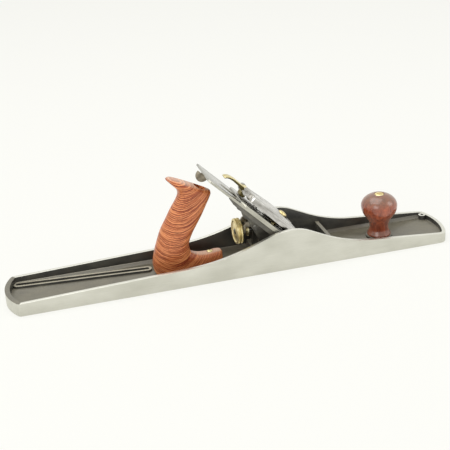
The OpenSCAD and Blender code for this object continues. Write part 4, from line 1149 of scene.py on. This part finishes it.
@dataclass
class Studio:
    """The pale floor, the soft lamps and the camera."""

    backdrop: str = "fcfcf7"
    paper: str = "f4f4f0"
    # How much of the floor that is seen glows by itself, so that the rest shows the object's shadow
    glowing: float = 0.72
    room: str = "f7f6f3"
    room_light: float = 0.62
    # Where the camera stands: angles in degrees, distance and target in millimetres
    azimuth: float = -14.451
    elevation: float = 24.698
    roll: float = 3.181
    distance: float = 1349.69
    target: tuple[float, float, float] = (-7.061, 0.0, 55.628)
    lens: float = 88.80

    def seen(self, tree: bpy.types.NodeTree) -> bpy.types.NodeSocket:
        """Tells whether a surface is seen directly, in a reflection or through glass.

        Args:
            tree: The material's or world's node tree.

        Returns:
            The socket that gives 1 for such rays.
        """
        path = add(tree, "LightPath")
        seen = path.outputs["Is Camera Ray"]
        for ray in ("Is Glossy Ray", "Is Transmission Ray"):
            both = add(tree, "Math", {0: seen, 1: path.outputs[ray]}, operation="ADD", use_clamp=True)
            seen = both.outputs[0]
        return seen

    def floor(self) -> None:
        """Lays a pale floor that keeps the object's shadow and shows white to the camera."""
        shape = bmesh.new()
        bmesh.ops.create_grid(shape, x_segments=4, y_segments=4, size=7)
        bmesh.ops.translate(shape, vec=(0, 0, -0.3 * MM), verts=shape.verts)
        # Matt photographic paper, rolled out flat: an even off-white without gloss
        material = bpy.data.materials.new("paper_backdrop_matt")
        material.use_nodes = True
        tree = material.node_tree
        shader = tree.nodes["Principled BSDF"]
        shader.inputs["Base Color"].default_value = srgb(self.paper)
        shader.inputs["Roughness"].default_value = 0.9
        shader.inputs["Specular IOR Level"].default_value = 0.1
        share = add(tree, "Math", {0: self.seen(tree), 1: self.glowing}, operation="MULTIPLY")
        glow = add(tree, "Emission", {"Color": srgb(self.backdrop), "Strength": 1.0})
        mixed = add(tree, "MixShader", {0: share.outputs[0], 1: shader.outputs[0], 2: glow.outputs[0]})
        tree.links.new(mixed.outputs[0], tree.nodes["Material Output"].inputs["Surface"])
        ground = finished(shape, "paper_floor", [material])

    def lamp(self, name: str, place: tuple[float, float, float], size: float, power: float) -> None:
        """Hangs a square soft lamp that faces the object.

        Args:
            name: The lamp's name.
            place: Its place in metres.
            size: Its side in metres.
            power: Its power in watts.
        """
        data = bpy.data.lights.new(name, "AREA")
        data.size = size
        data.energy = power
        aim = Vector((0, 0, 40 * MM)) - Vector(place)
        turn = aim.to_track_quat("-Z", "Y").to_matrix().to_4x4()
        placed(name, data).matrix_world = Matrix.Translation(place) @ turn

    def light(self) -> None:
        """Sets the soft lamps and a world that shows white."""
        self.lamp("lamp_above", (-0.3, 0.3, 2.0), 1.8, 20)
        self.lamp("lamp_front_left", (-1.3, -1.5, 1.3), 1.2, 12)
        self.lamp("lamp_right", (1.7, -0.6, 1.2), 1.0, 7)
        world = bpy.data.worlds.new("pale_room")
        bpy.context.scene.world = world
        world.use_nodes = True
        tree = world.node_tree
        room = tree.nodes["Background"]
        room.inputs["Color"].default_value = srgb(self.room)
        room.inputs["Strength"].default_value = self.room_light
        white = add(tree, "Background", {"Color": srgb(self.backdrop), "Strength": 1.0})
        mixed = add(tree, "MixShader", {0: self.seen(tree), 1: room.outputs[0], 2: white.outputs[0]})
        tree.links.new(mixed.outputs[0], tree.nodes["World Output"].inputs["Surface"])
        bpy.context.scene.view_settings.view_transform = "Standard"

    def camera(self) -> None:
        """Sets up the camera where the photograph was taken from."""
        azimuth, elevation, roll = (math.radians(a) for a in (self.azimuth, self.elevation, self.roll))
        target = Vector(self.target) * MM
        side = Vector((math.cos(azimuth), math.sin(azimuth), 0))
        back = Vector((
            math.sin(azimuth) * math.cos(elevation),
            -math.cos(azimuth) * math.cos(elevation),
            math.sin(elevation),
        ))
        above = back.cross(side)
        right = side * math.cos(roll) - above * math.sin(roll)
        upward = side * math.sin(roll) + above * math.cos(roll)
        data = bpy.data.cameras.new("photo_camera")
        data.sensor_width = 36
        data.lens = self.lens
        data.clip_start = 0.05
        data.clip_end = 20
        turn = Matrix((right, upward, back)).transposed().to_4x4()
        holder = placed("photo_camera", data)
        holder.matrix_world = Matrix.Translation(target + back * self.distance * MM) @ turn
        bpy.context.scene.camera = holder


def main() -> None:
    """Builds the scene piece by piece."""
    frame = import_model()
    studio = Studio()
    studio.camera()
    studio.light()
    studio.floor()
    shop = Workshop()
    Castings(shop).build(frame["nodes"])
    Fittings(shop).build(frame["nodes"])
    DepthWheel(shop).build()
    Knob(shop).build()
    Tote().build()


if __name__ == "__main__":
    main()
